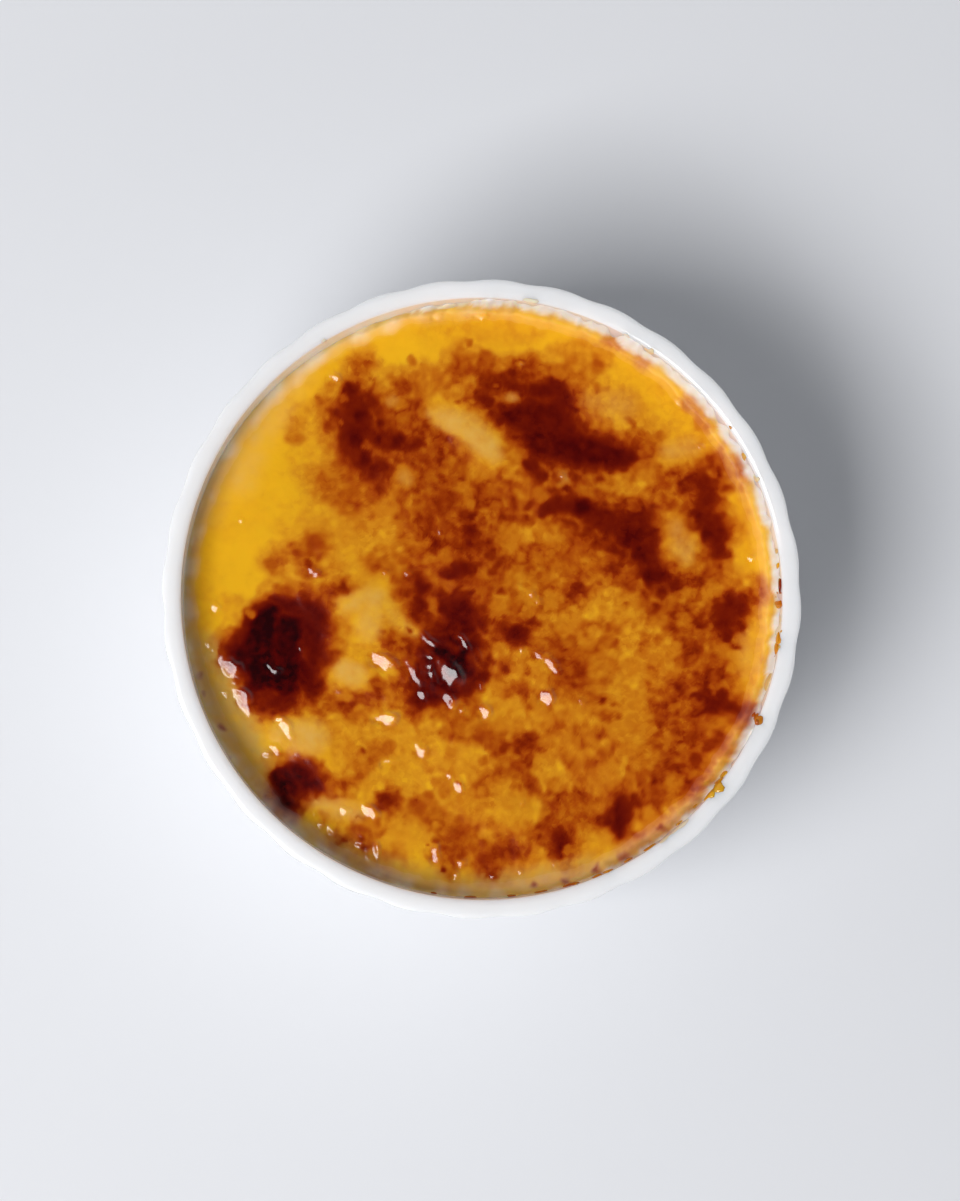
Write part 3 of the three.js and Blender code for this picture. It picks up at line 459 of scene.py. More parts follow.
# Relief of the crust, in mm over the cream's level: x, y, half length, half width, turn in degrees, rise
relief = {
    "swell": (0.22, 21, 0.8, 1.3, -0.6),  # slow waves in the set custard: height, length, stretch, and phases
    "mounds": [
        (-0.1, 22.5, 6.2, 2.9, -40, 0.75), (29, 8.2, 5.6, 3.1, 80, 0.7), (-16.9, -10.8, 3.5, 3.3, 0, 0.6),
        (-15.6, -1.5, 5, 3.6, -60, 0.55), (-25.3, -18.9, 4.8, 3.2, -20, 0.6), (9.6, 8.9, 4.2, 2.6, 15, 0.45),
        (18.1, -2.7, 6, 3.1, 10, 0.45), (3.8, -30.6, 5.4, 2.8, 0, 0.5), (-34, 12, 7, 4.4, 65, 0.35),
        (18.6, 29, 6, 3.4, -30, 0.4), (12, 24.5, 11, 5.2, -38, -0.45), (-15, 23, 7.2, 6.4, 60, -0.35),
        (22.5, 9, 5.6, 6, 0, -0.35), (-27.9, -6.6, 8.6, 6.6, 70, -0.4),
    ],
    "lump": (-3.9, -9.2, 4.8, 4.8, 0, 0.5),
    "moundRise": 0.35,  # share of the solid's rise, as the skin's blisters are flat on top
    "crags": (2.2, 0.1),  # size and rise of the bubbles that froze in the charred lump
    # glassy flakes of sugar that lean towards the light: x, y, half length, half width, turn
    "flakes": [
        (-35, -9.7, 2.6, 1.7, -50), (-33.2, -14.2, 2.9, 1.5, -65), (-28.9, -9.7, 1.6, 0.8, -30),
        (-37.1, -1.1, 0.9, 0.9, 0), (-38, -6.4, 0.6, 0.6, 0), (-37.1, -7.2, 0.6, 0.6, 0),
        (-23.2, 3.9, 1.1, 0.8, 0), (-24.9, -6.9, 0.6, 0.6, 0), (-35.4, -13.4, 0.6, 0.6, 0),
        (-4, -10.3, 2.3, 2, -15), (-2.3, -8.9, 0.5, 0.5, 0), (-7.2, -5.5, 2, 0.8, -36),
        (-6.6, -8, 0.9, 0.7, -60), (-6.7, -9.2, 0.7, 0.6, 80), (-6.4, -10.4, 0.6, 0.6, 0),
        (-2.5, -5, 0.7, 0.7, 0), (-1.7, -6.2, 1.1, 0.8, -45), (0.1, -7.4, 1.5, 0.5, -65),
        (-9.1, -10, 2.4, 0.8, -63), (-7.9, -13.3, 1, 0.8, 30), (-7, -14.2, 0.9, 0.6, -40),
        (-4, -14, 1.6, 0.9, -20), (-3.6, -14.9, 0.8, 0.8, 60), (-2.3, -15.5, 0.6, 0.6, 0),
        (0.6, -12, 0.8, 0.8, 0), (1.05, -15.7, 1.4, 1, 90), (-13.4, -8.6, 2.3, 1.4, -15),
        (-12.9, -16.8, 2.1, 1.1, 0), (-13.2, 4, 0.7, 0.7, 0), (-10, 3.8, 0.6, 0.6, 0),
        (-28, -16.8, 0.9, 0.4, 0), (-26.9, -18.3, 1.8, 1.1, -72), (-28.5, -21.2, 1.2, 0.8, -55),
        (-29.8, -21.8, 0.7, 0.7, 0), (-15.2, -29.9, 1.7, 1.1, -25), (-18.8, -29.8, 0.9, 0.8, 0),
        (-22.9, -30.2, 0.5, 0.4, -50), (-22.2, -31.8, 0.7, 0.5, -50), (-20.6, -32.7, 1, 0.8, -30),
        (-16.7, -34.5, 0.6, 0.6, 0), (-14.3, -35.3, 1.4, 0.9, 90), (-7.9, -21.3, 1.3, 1.2, -40),
        (-3.8, -24.7, 0.8, 0.6, -20), (-2.7, -26.3, 1.2, 1, -60), (-12.5, -22.8, 1.5, 0.5, 15),
        (-5.9, -35.8, 1.9, 0.9, 90), (-2.3, -37.2, 1.1, 0.8, 50), (-3.1, -38.8, 0.9, 0.6, 60),
        (6, -38.3, 0.9, 0.5, 90), (2.1, -39, 0.5, 0.5, 0), (8.8, -7.6, 1.2, 0.9, -20),
        (10.3, -8.7, 1.7, 1, -50), (11.2, -9.9, 0.8, 0.7, -70), (9.9, -13.7, 1.5, 1.4, 90),
        (6.3, -7.1, 0.5, 0.5, 0), (14.7, -14.2, 0.5, 0.5, 0), (7.6, 0.8, 1, 0.7, -20),
        (8.5, 0, 0.7, 0.7, -60), (5.9, 1.7, 0.6, 0.6, 0), (8.8, -28.9, 0.6, 0.5, 90),
        (6.2, -28.7, 0.5, 0.5, 0), (11, -37.4, 0.5, 0.6, 0), (14.4, -37.4, 0.5, 0.6, 0),
        (34.3, -22.4, 0.5, 0.6, 0), (36.9, -18.3, 0.5, 0.6, 0), (33.4, -25.4, 1.6, 0.6, 45),
        (-20.3, 31.8, 0.9, 0.9, 0), (-14.4, 31.8, 0.5, 0.5, 0), (31.8, 22, 0.6, 0.7, 0),
        (25.7, 29, 1, 0.5, -60), (28.6, 28.5, 1.2, 0.7, -45), (30.4, 6.6, 0.6, 0.6, 0),
        (5.2, 29.2, 0.6, 0.6, 0), (-5.8, 40.8, 0.7, 0.7, 0), (0.5, 40.6, 1.2, 0.7, 0),
        (-33.3, 11.1, 0.7, 0.6, 0), (6.2, 33.8, 0.5, 0.5, 0), (-5.4, 9.8, 0.35, 0.35, 0),
        (12, 17.6, 0.6, 0.5, 0), (41, 8.2, 0.6, 0.7, 0), (39, 6.1, 0.6, 0.6, 0),
    ],
    "flakeLean": (35, 0.355),  # the way they rise, in degrees, and how steeply
    "flakeRise": 0.12,
    "flakeFray": (0.5, 1.4),  # how far their edges wander, and over what length
    "flakeDents": (0.02, 0.9),  # depth and length of the dents in them
    "lively": (0.25, 0.55, 0.45),  # strength of the froth: anywhere, more where burnt, more at the near left
    "still": (0.85, 0.75),  # how much calmer the clean custard at the far left is, and the charred sugar
    "froth": (2.1, 0.045),  # size and rise of the blisters of torched sugar
    "fineFroth": (1.05, 0.02),
    "waves": (3.6, 0.1),  # length and height of the pulls in the sugar
}


def skinAt(x, y, burn):
    # Swell, mounds and pools as in the solid, with froth and pulled sugar added on top. The swell is
    # h sin(w x + p) cos(s w y + q).
    height, length, stretch, phaseX, phaseY = relief["swell"]
    wave = 2 * np.pi / length
    z = height * np.sin(wave * x + phaseX) * np.cos(wave * y * stretch + phaseY)
    for spot in relief["mounds"]:
        z = z + relief["moundRise"] * spot[5] * mound(x, y, spot)
    lump = mound(x, y, relief["lump"])
    size, rise = relief["crags"]
    nearest, share = cells(x, y, size, 61)
    z = z + relief["lump"][5] * lump + rise * lump * (1 - smooth(nearest, 0.05, 0.7)) * (0.4 + share)

    anywhere, burnt, nearLeft = relief["lively"]
    clean, charred = relief["still"]
    lively = anywhere + burnt * smooth(burn, 0.15, 0.6) + nearLeft * smooth(-x - 0.7 * y, -6, 26)
    lively = lively * (1 - clean * smooth(-x, 24, 34) * smooth(y, -6, 6))
    lively = lively * (1 - charred * smooth(burn, 0.72, 0.92))
    for (size, rise), seed in ((relief["froth"], 62), (relief["fineFroth"], 63)):
        wx, wy = x + 0.3 * size * ripple(x, y, size, 64), y + 0.3 * size * ripple(x, y, size, 65)
        nearest, share = cells(wx, wy, size, seed)
        z = z + rise * lively * smooth(share, 0.35, 0.9) * (1 - smooth(nearest, 0.1, 0.62))
    length, height = relief["waves"]
    return z + height * lively * layered(x, y, length, 66, 3, 0.5)


def heightAt(x, y, burn):
    # The skin with its flakes. A flake is a plane that leans, let into the skin over an ellipse, and a little
    # raised; on the lump it also takes the slope of the skin away.
    z = skinAt(x, y, burn)
    px, py = np.array(relief["flakes"])[:, :2].T
    seats = skinAt(px, py, burnAt(px, py))
    slope = smooth(mound(x, y, relief["lump"]), 0, 0.35)
    way, lean = relief["flakeLean"]
    c, s = np.cos(np.radians(way)), np.sin(np.radians(way))
    fray, length = relief["flakeFray"]
    fx, fy = x + fray * ripple(x, y, length, 67), y + fray * ripple(x, y, length, 68)
    depth, length = relief["flakeDents"]
    dented = depth * ripple(x, y, length, 69)
    for (px, py, halfLength, halfWidth, turn), seat in zip(relief["flakes"], seats):
        ct, st = np.cos(np.radians(turn)), np.sin(np.radians(turn))
        along, across = (fx - px) * ct + (fy - py) * st, (fy - py) * ct - (fx - px) * st
        cover = 1 - smooth(np.hypot(along / halfLength, across / halfWidth), 0.4, 1.15)
        rise = lean * ((x - px) * c + (y - py) * s) + relief["flakeRise"] * min(halfWidth, 1)
        z = z + (rise + dented + slope * (seat - z)) * cover
    return z


def newObject(name, data):
    # An object for a mesh, a lamp or a camera, put into the scene
    thing = bpy.data.objects.new(name, data)
    bpy.context.scene.collection.objects.link(thing)
    return thing


def makePiece(name, points, quads, triangles, attributes, material):
    # Puts points in mm and faces into a mesh in metres, with one value per point for each attribute
    mesh = bpy.data.meshes.new(name)
    mesh.from_pydata(points * mm, [], quads.tolist() + triangles.tolist())
    for label, values in attributes.items():
        layer = mesh.attributes.new(label, "FLOAT", "POINT")
        layer.data.foreach_set("value", values.astype(np.float32))
    mesh.polygons.foreach_set("use_smooth", np.ones(len(mesh.polygons), bool))
    mesh.materials.append(material)
    mesh.update()
    piece = newObject(name, mesh)
    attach(piece, "root")
    print(f"{name}: {len(points)} points, {len(quads)} quads, {len(triangles)} triangles")
    return piece


def linear(code):
    # sRGB hex to linear light
    parts = np.array([int(code[i:i + 2], 16) / 255 for i in (1, 3, 5)])
    parts = np.where(parts <= 0.04045, parts / 12.92, ((parts + 0.055) / 1.055) ** 2.4)
    return (*parts, 1.0)


def addNode(tree, kind, settings, inputs):
    # Adds a node, whose kind is its type's name after ShaderNode: settings are its properties, and each input
    # is a number, a colour or the output that it is linked to
    node = tree.nodes.new("ShaderNode" + kind)
    for name, value in settings.items():
        setattr(node, name, value)
    for socket, value in inputs.items():
        if isinstance(value, bpy.types.NodeSocket):
            tree.links.new(value, node.inputs[socket])
        else:
            node.inputs[socket].default_value = value
    return node


def newMaterial(name):
    # A material with an empty node tree
    material = bpy.data.materials.new(name)
    material.use_nodes = True
    material.node_tree.nodes.clear()
    return material, material.node_tree


def setStops(node, stops):
    # Gives a colour ramp its places and colours, or plain amounts
    ramp = node.color_ramp
    while len(ramp.elements) < len(stops):
        ramp.elements.new(0.5)
    for element, (place, colour) in zip(ramp.elements, stops):
        element.position = place
        element.color = linear(colour) if isinstance(colour, str) else (colour, colour, colour, 1)


# The look of custard and of sugar torched from gold to black
caramel = {
    "stops": [
        (0, "#f0b61e"), (0.05, "#ebaf1e"), (0.15, "#dc961d"), (0.25, "#cf7f16"), (0.35, "#c46c10"),
        (0.45, "#b7590b"), (0.55, "#a94508"), (0.65, "#932f03"), (0.75, "#7f1e02"), (0.85, "#6c1203"),
        (0.93, "#540604"), (1, "#250306"),
    ],
    "uneven": [(0.0, 0.1), (0.2, 0.5), (0.45, 0.75), (0.7, 0.45), (0.9, 0.3)],  # how mottled at each burn
    "paleColour": "#e2af52",  # a blister of skin with air under it
    "filmAndLightColour": "#fff6ea",  # a film of custard on the white wall, and the painted light that pales the custard in the wall's shadow
    "paintedShadeColour": "#d6a951",  # grey tan painted as shade and as the wall's reflection, where the wall shades the custard's edge
    "grain": (0.62, 0.12),  # one melted grain of sugar: size in mm, and how far its burn strays
    "speck": (1.3, 0.24),
    "drift": (7, 0.4, 1.4),  # the mottled places: mm apart, and how mottled the skin is, least and most
    "roughness": 0.15,
    "mattRoughness": 0.6,  # of custard alone, where it dried on the wall
    "ior": 1.44,
    "coat": 0.1,
    "coatRoughness": 0.06,
    "coatIor": 1.5,
    "translucence": 0.4,
    "reach": 2,  # mm that red light wanders in custard
    "tint": (1, 0.5, 0.15),  # how far red, green and blue get, as shares of it
    "bump": 0.02,  # mm
}


def caramelMaterial():
    # Set egg custard under burnt sugar: satin and a little translucent where it is yellow, a glassy lacquer
    # where the sugar melted, with every grain burnt a little more or less than the next
    material, tree = newMaterial("torched sugar on custard")
    place = addNode(tree, "TexCoord", {}, {}).outputs["Object"]
    burn, pale, paintedShade, filmAndPaintedLight, matt = (
        addNode(tree, "Attribute", {"attribute_name": name}, {}).outputs["Fac"]
        for name in ("burn", "pale", "paintedShade", "filmAndPaintedLight", "matt"))
    grain, speck = (caramel[name][0] * mm for name in ("grain", "speck"))
    cell = addNode(tree, "TexVoronoi", {}, {"Vector": place, "Scale": 1 / grain})
    share = addNode(tree, "SeparateColor", {}, {"Color": cell.outputs["Color"]})
    cloud = addNode(tree, "TexNoise", {},
                    {"Vector": place, "Scale": 1 / speck, "Detail": 3, "Roughness": 0.6})
    apart, least, most = caramel["drift"]
    drift = addNode(tree, "TexNoise", {}, {"Vector": place, "Scale": 1 / (apart * mm), "Detail": 1})
    strays = []
    for name, source in (("grain", share.outputs["Red"]), ("speck", cloud.outputs["Fac"])):
        reach = caramel[name][1]
        strays.append(addNode(tree, "Math", {"operation": "MULTIPLY_ADD"},
                              {0: source, 1: reach, 2: -0.5 * reach}).outputs[0])
    stray = addNode(tree, "Math", {"operation": "ADD"}, {0: strays[0], 1: strays[1]})
    uneven = addNode(tree, "ValToRGB", {}, {"Fac": burn})
    setStops(uneven, caramel["uneven"])
    patchy = addNode(tree, "MapRange", {},
                     {"Value": drift.outputs["Fac"], "From Min": 0.35, "From Max": 0.65,
                      "To Min": least, "To Max": most})
    amount = addNode(tree, "Math", {"operation": "MULTIPLY"},
                     {0: uneven.outputs["Color"], 1: patchy.outputs[0]})
    grained = addNode(tree, "Math", {"operation": "MULTIPLY_ADD", "use_clamp": True},
                      {0: stray.outputs[0], 1: amount.outputs[0], 2: burn})
    sugar = addNode(tree, "ValToRGB", {}, {"Fac": grained.outputs[0]})
    setStops(sugar, caramel["stops"])
    colour = sugar.outputs["Color"]
    # Of the three covers, pale is the blisters' own colour. The second is painted shade and wall reflection
    # at the custard's shaded edge. The third is partly a thin film of custard on the white wall and partly
    # painted light over the wall's shadow.
    for cover, name in ((pale, "paleColour"), (paintedShade, "paintedShadeColour"), (filmAndPaintedLight, "filmAndLightColour")):
        mixed = addNode(tree, "Mix", {"data_type": "RGBA"},
                        {0: cover, 6: colour, 7: linear(caramel[name])})
        colour = mixed.outputs[2]
    roughness = addNode(tree, "MapRange", {},
                        {"Value": matt, "To Min": caramel["roughness"], "To Max": caramel["mattRoughness"]})
    coat = addNode(tree, "MapRange", {}, {"Value": matt, "To Min": caramel["coat"], "To Max": 0})
    bump = addNode(tree, "Bump", {},
                   {"Strength": 1, "Distance": caramel["bump"] * mm, "Height": cloud.outputs["Fac"]})
    surface = addNode(tree, "BsdfPrincipled", {"subsurface_method": "RANDOM_WALK"}, {
        "Base Color": colour, "Roughness": roughness.outputs[0], "IOR": caramel["ior"],
        "Subsurface Weight": caramel["translucence"], "Subsurface Radius": caramel["tint"],
        "Subsurface Scale": caramel["reach"] * mm,
        "Coat Weight": coat.outputs[0], "Coat Roughness": caramel["coatRoughness"],
        "Coat IOR": caramel["coatIor"], "Normal": bump.outputs["Normal"],
    })
    addNode(tree, "OutputMaterial", {}, {"Surface": surface.outputs[0]})
    return material


porcelain = {
    "glaze": "#fafaf9",
    "pooled": "#eef0f3",  # where the glaze lies thicker, in the valleys
    "bisque": "#e4dfd5",  # the bare foot ring
    "glazeRoughness": 0.09,
    "bareRoughness": 0.7,
    "ripple": (2.4, 0.012),  # length and height in mm of the glaze's orange peel
    "ior": 1.5,
    "translucence": 0.9,
    "reach": 4.5,  # mm that red light wanders in the thin wall
    "tint": (1, 0.95, 0.9),  # how far red, green and blue get, as shares of it
}


def porcelainMaterial():
    # Slip cast hard porcelain under a clear glossy glaze: bright white, cooler where the glaze pooled,
    # with a faint orange peel in its reflections, and warm and matt on the bare foot ring
    material, tree = newMaterial("clear glazed porcelain")
    place = addNode(tree, "TexCoord", {}, {}).outputs["Object"]
    pooled, bare = (addNode(tree, "Attribute", {"attribute_name": name}, {}).outputs["Fac"]
                    for name in ("pooled", "bare"))
    length, height = porcelain["ripple"]
    peel = addNode(tree, "TexNoise", {},
                   {"Vector": place, "Scale": 1 / (length * mm), "Detail": 2, "Roughness": 0.5})
    glaze = addNode(tree, "Mix", {"data_type": "RGBA"},
                    {0: pooled, 6: linear(porcelain["glaze"]), 7: linear(porcelain["pooled"])})
    colour = addNode(tree, "Mix", {"data_type": "RGBA"},
                     {0: bare, 6: glaze.outputs[2], 7: linear(porcelain["bisque"])})
    gap = porcelain["bareRoughness"] - porcelain["glazeRoughness"]
    roughness = addNode(tree, "Math", {"operation": "MULTIPLY_ADD"},
                        {0: bare, 1: gap, 2: porcelain["glazeRoughness"]})
    bump = addNode(tree, "Bump", {}, {"Strength": 1, "Distance": height * mm, "Height": peel.outputs["Fac"]})
    surface = addNode(tree, "BsdfPrincipled", {}, {
        "Base Color": colour.outputs[2], "Roughness": roughness.outputs[0], "IOR": porcelain["ior"],
        "Subsurface Weight": porcelain["translucence"], "Subsurface Radius": porcelain["tint"],
        "Subsurface Scale": porcelain["reach"] * mm, "Normal": bump.outputs["Normal"],
    })
    addNode(tree, "OutputMaterial", {}, {"Surface": surface.outputs[0]})
    return material


# The ramekin, with the sizes of its solid. No crest lies on an axis, so the rim's radius is the box's to the
# whole mm, and the cream's solid stands clear of the porcelain by a gap.
creamGap = 0.3
ramekin = {
    "rimRadius": round(ramekinTop[0] / mm), "height": round(ramekinTop[2] / mm, 3),
    "floorTop": round(creamFoot[2] / mm - creamGap, 3), "floorFillet": 7,
    "lipThickness": 2.7, "lipEdge": 0.9, "lipCrown": 3.2, "lipLean": 0.08,
    "footRadius": 38.5, "footWidth": 2.8, "footDepth": 1.4, "footEdge": 0.5,
    # height, and inset: from the foot ring's inside, from the rim, and from the lip's inner radius
    "cove": [(1.4, 2.4), (1.3, 1.2), (0.5, 0.5), (0.08, 0.1), (0, -0.25)],
    "body": [(1.3, 6), (3.2, 3.8), (9, 2.4), (22, 1.6), (34, 1.25), (39, 0.75), (41.6, 0.17)],
    "bore": [(44.1, 0), (38, 0.4), (27.36, 1.15), (12.2, 2.3)],
    "flutes": 32, "fluteTurn": -2.8, "fluteHalfDepth": 0.62, "lipHalfDepth": 0.17, "flattening": 0.15,
    "fluteStart": 2.2, "fluteFull": 6, "fluteFade": 35.5, "fluteLip": 41,
    "sides": 640, "lipSteps": 24,
    "unevenness": (0.035, 17),  # how far the cast wall wanders from true, and over what length
    "bare": (0.12, 0.35),  # heights between which the foot's glaze starts
}


def spline(points, steps):
    # Catmull-Rom through the points: even steps along each stretch, the end points standing in for their
    # missing neighbours
    points = np.array(points, float)
    padded = np.vstack([points[:1], points, points[-1:]])
    at = np.linspace(0, len(points) - 1, steps + 1)
    i = np.minimum(at.astype(int), len(points) - 2)
    t = (at - i)[:, None]
    p0, p1, p2, p3 = (padded[i + k] for k in range(4))
    v1, v2 = (p2 - p0) / 2, (p3 - p1) / 2
    return (2 * (p1 - p2) + v1 + v2) * t ** 3 + (3 * (p2 - p1) - 2 * v1 - v2) * t ** 2 + v1 * t + p1


def arc(centre, radius, start, end, steps):
    # Points on a circle from one angle in degrees to another
    angle = np.radians(np.linspace(start, end, steps + 1))
    return np.stack([centre[0] + radius * np.cos(angle), centre[1] + radius * np.sin(angle)], 1)


def lipArch(steps):
    # The lip from its outer edge over to the bore: a superellipse |x/a|^n + |z/b|^n = 1, flatter than a half
    # round, that falls a little towards the inside
    half, edge, n = ramekin["lipThickness"] / 2, ramekin["lipEdge"], ramekin["lipCrown"]
    angle = np.linspace(0, np.pi, steps + 1)
    x = half * np.sign(np.cos(angle)) * np.abs(np.cos(angle)) ** (2 / n)
    rise = edge - ramekin["lipLean"] * (half - x)
    return np.stack([ramekin["rimRadius"] - half + x,
                     ramekin["height"] - edge + rise * np.sin(angle) ** (2 / n)], 1)


def boreProfile():
    # Radius and height down the inside, from the lip's inner edge to the start of the floor's fillet
    inner = ramekin["rimRadius"] - ramekin["lipThickness"]
    return spline([(inner - inset, z) for z, inset in ramekin["bore"]], 36)


def reed(angle):
    # Convex reeds: cos t + k (1 - cos 2t), from -1 in a valley to 1 on a crest
    turn = ramekin["flutes"] * (angle - np.radians(ramekin["fluteTurn"]))
    return np.cos(turn) + ramekin["flattening"] * (1 - np.cos(2 * turn))


def ringFaces(rings, sides):
    # Quads between rings of equal count, each ring's points running counterclockwise from above, rings in
    # the order that keeps the outside on the right of the way they go
    k, m = np.meshgrid(np.arange(rings - 1), np.arange(sides), indexing="ij")
    here, there = k * sides, (k + 1) * sides
    after = (m + 1) % sides
    return np.stack([here + m, here + after, there + after, there + m], -1).reshape(-1, 4)


def roundAxis(radius, angle, z):
    # Points at a radius, an angle and a height, in one list
    return np.stack([radius * np.cos(angle), radius * np.sin(angle), z + 0 * angle], -1).reshape(-1, 3)


def floorFillet(reach, steps):
    # The rounding between the wall and the floor, a quarter circle set into the porcelain by reach
    fillet = ramekin["floorFillet"]
    corner = (boreProfile()[-1, 0] - fillet, ramekin["floorTop"] + fillet)
    return arc(corner, fillet + reach, 0, -90, steps)


def fan(centre, ring):
    # Triangles from a middle point to each side of a ring of points
    return np.stack([np.full(len(ring), centre), np.roll(ring, -1), ring], 1)


def makeRamekin(material):
    # A profile turned round the axis: r and z along the profile, with the flutes added to r on the outside.
    # It starts under the foot, runs up the outside, over the lip, down the bore and in over the floor.
    r = ramekin
    rim, foot, edge = r["rimRadius"], r["footRadius"], r["footEdge"]
    parts = [
        [(radius, r["footDepth"]) for radius in (4, 16, 28)],
        spline([(foot - r["footWidth"] - inset, z) for z, inset in r["cove"]], 14),
        arc((foot - edge, edge), edge, -90, 0, 6),
        spline([(rim - inset, z) for z, inset in r["body"]], 64),
        lipArch(r["lipSteps"]),
        boreProfile()[1:],
        floorFillet(0, 14)[1:],
        [(radius, r["floorTop"]) for radius in (26, 14, 4)],
    ]
    profile = np.vstack([np.array(part, float) for part in parts])
    counts = np.cumsum([len(part) for part in parts])
    index = np.arange(len(profile))[:, None]
    bodyStart, lipStart = counts[2], counts[3]
    lipHalf = r["lipSteps"] // 2
    lipTop = lipStart + lipHalf

    # the flutes' depth, which fades to the lip's scallops and is gone at the lip's top
    angle = np.linspace(0, 2 * np.pi, r["sides"], endpoint=False)[None, :]
    radius, z = profile[:, 0:1], profile[:, 1:2]
    onBody = smooth(z, r["fluteStart"], r["fluteFull"]) * r["fluteHalfDepth"]
    toLip = smooth(z, r["fluteFade"], r["fluteLip"])
    left = np.clip((lipTop - index) / lipHalf, 0, 1)
    onLip = index >= lipStart
    fluted = (index >= bodyStart) & (index <= lipTop)
    depth = (onBody * (1 - toLip) + r["lipHalfDepth"] * toLip) * np.where(onLip, left, 1) * fluted
    crest = radius - np.where(onLip & fluted, r["lipHalfDepth"] * left, 0)
    # the noise is sheared up the wall, so that it isn't the same at every height
    far, length = r["unevenness"]
    wander = far * ripple(radius * np.cos(angle) + 3 * z, radius * np.sin(angle) - 2 * z, length, 71)
    wander = wander * smooth(z, 0.5, 4)
    points = roundAxis(crest + depth * reed(angle) + np.minimum(wander, 0), angle, z)

    pooled = (0.5 - 0.5 * reed(angle)) * (depth > 0.05) * smooth(depth, 0.05, 0.6)
    low, high = r["bare"]
    footRing = smooth(-z, -high, -low) + 0 * angle
    sides = r["sides"]
    last = len(profile) * sides
    points = np.vstack([points, [[0, 0, r["footDepth"]], [0, 0, r["floorTop"]]]])
    around = np.arange(sides)
    closing = np.vstack([fan(last, around), fan(last + 1, last - sides + around)[:, [0, 2, 1]]])
    attributes = {
        "pooled": np.append(pooled.ravel(), [0, 0]),
        "bare": np.append(footRing.ravel(), [0, 0]),
    }
    piece = makePiece("ramekinGlazed", points, ringFaces(len(profile), sides), closing, attributes, material)
    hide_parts("ramekin")
    return piece


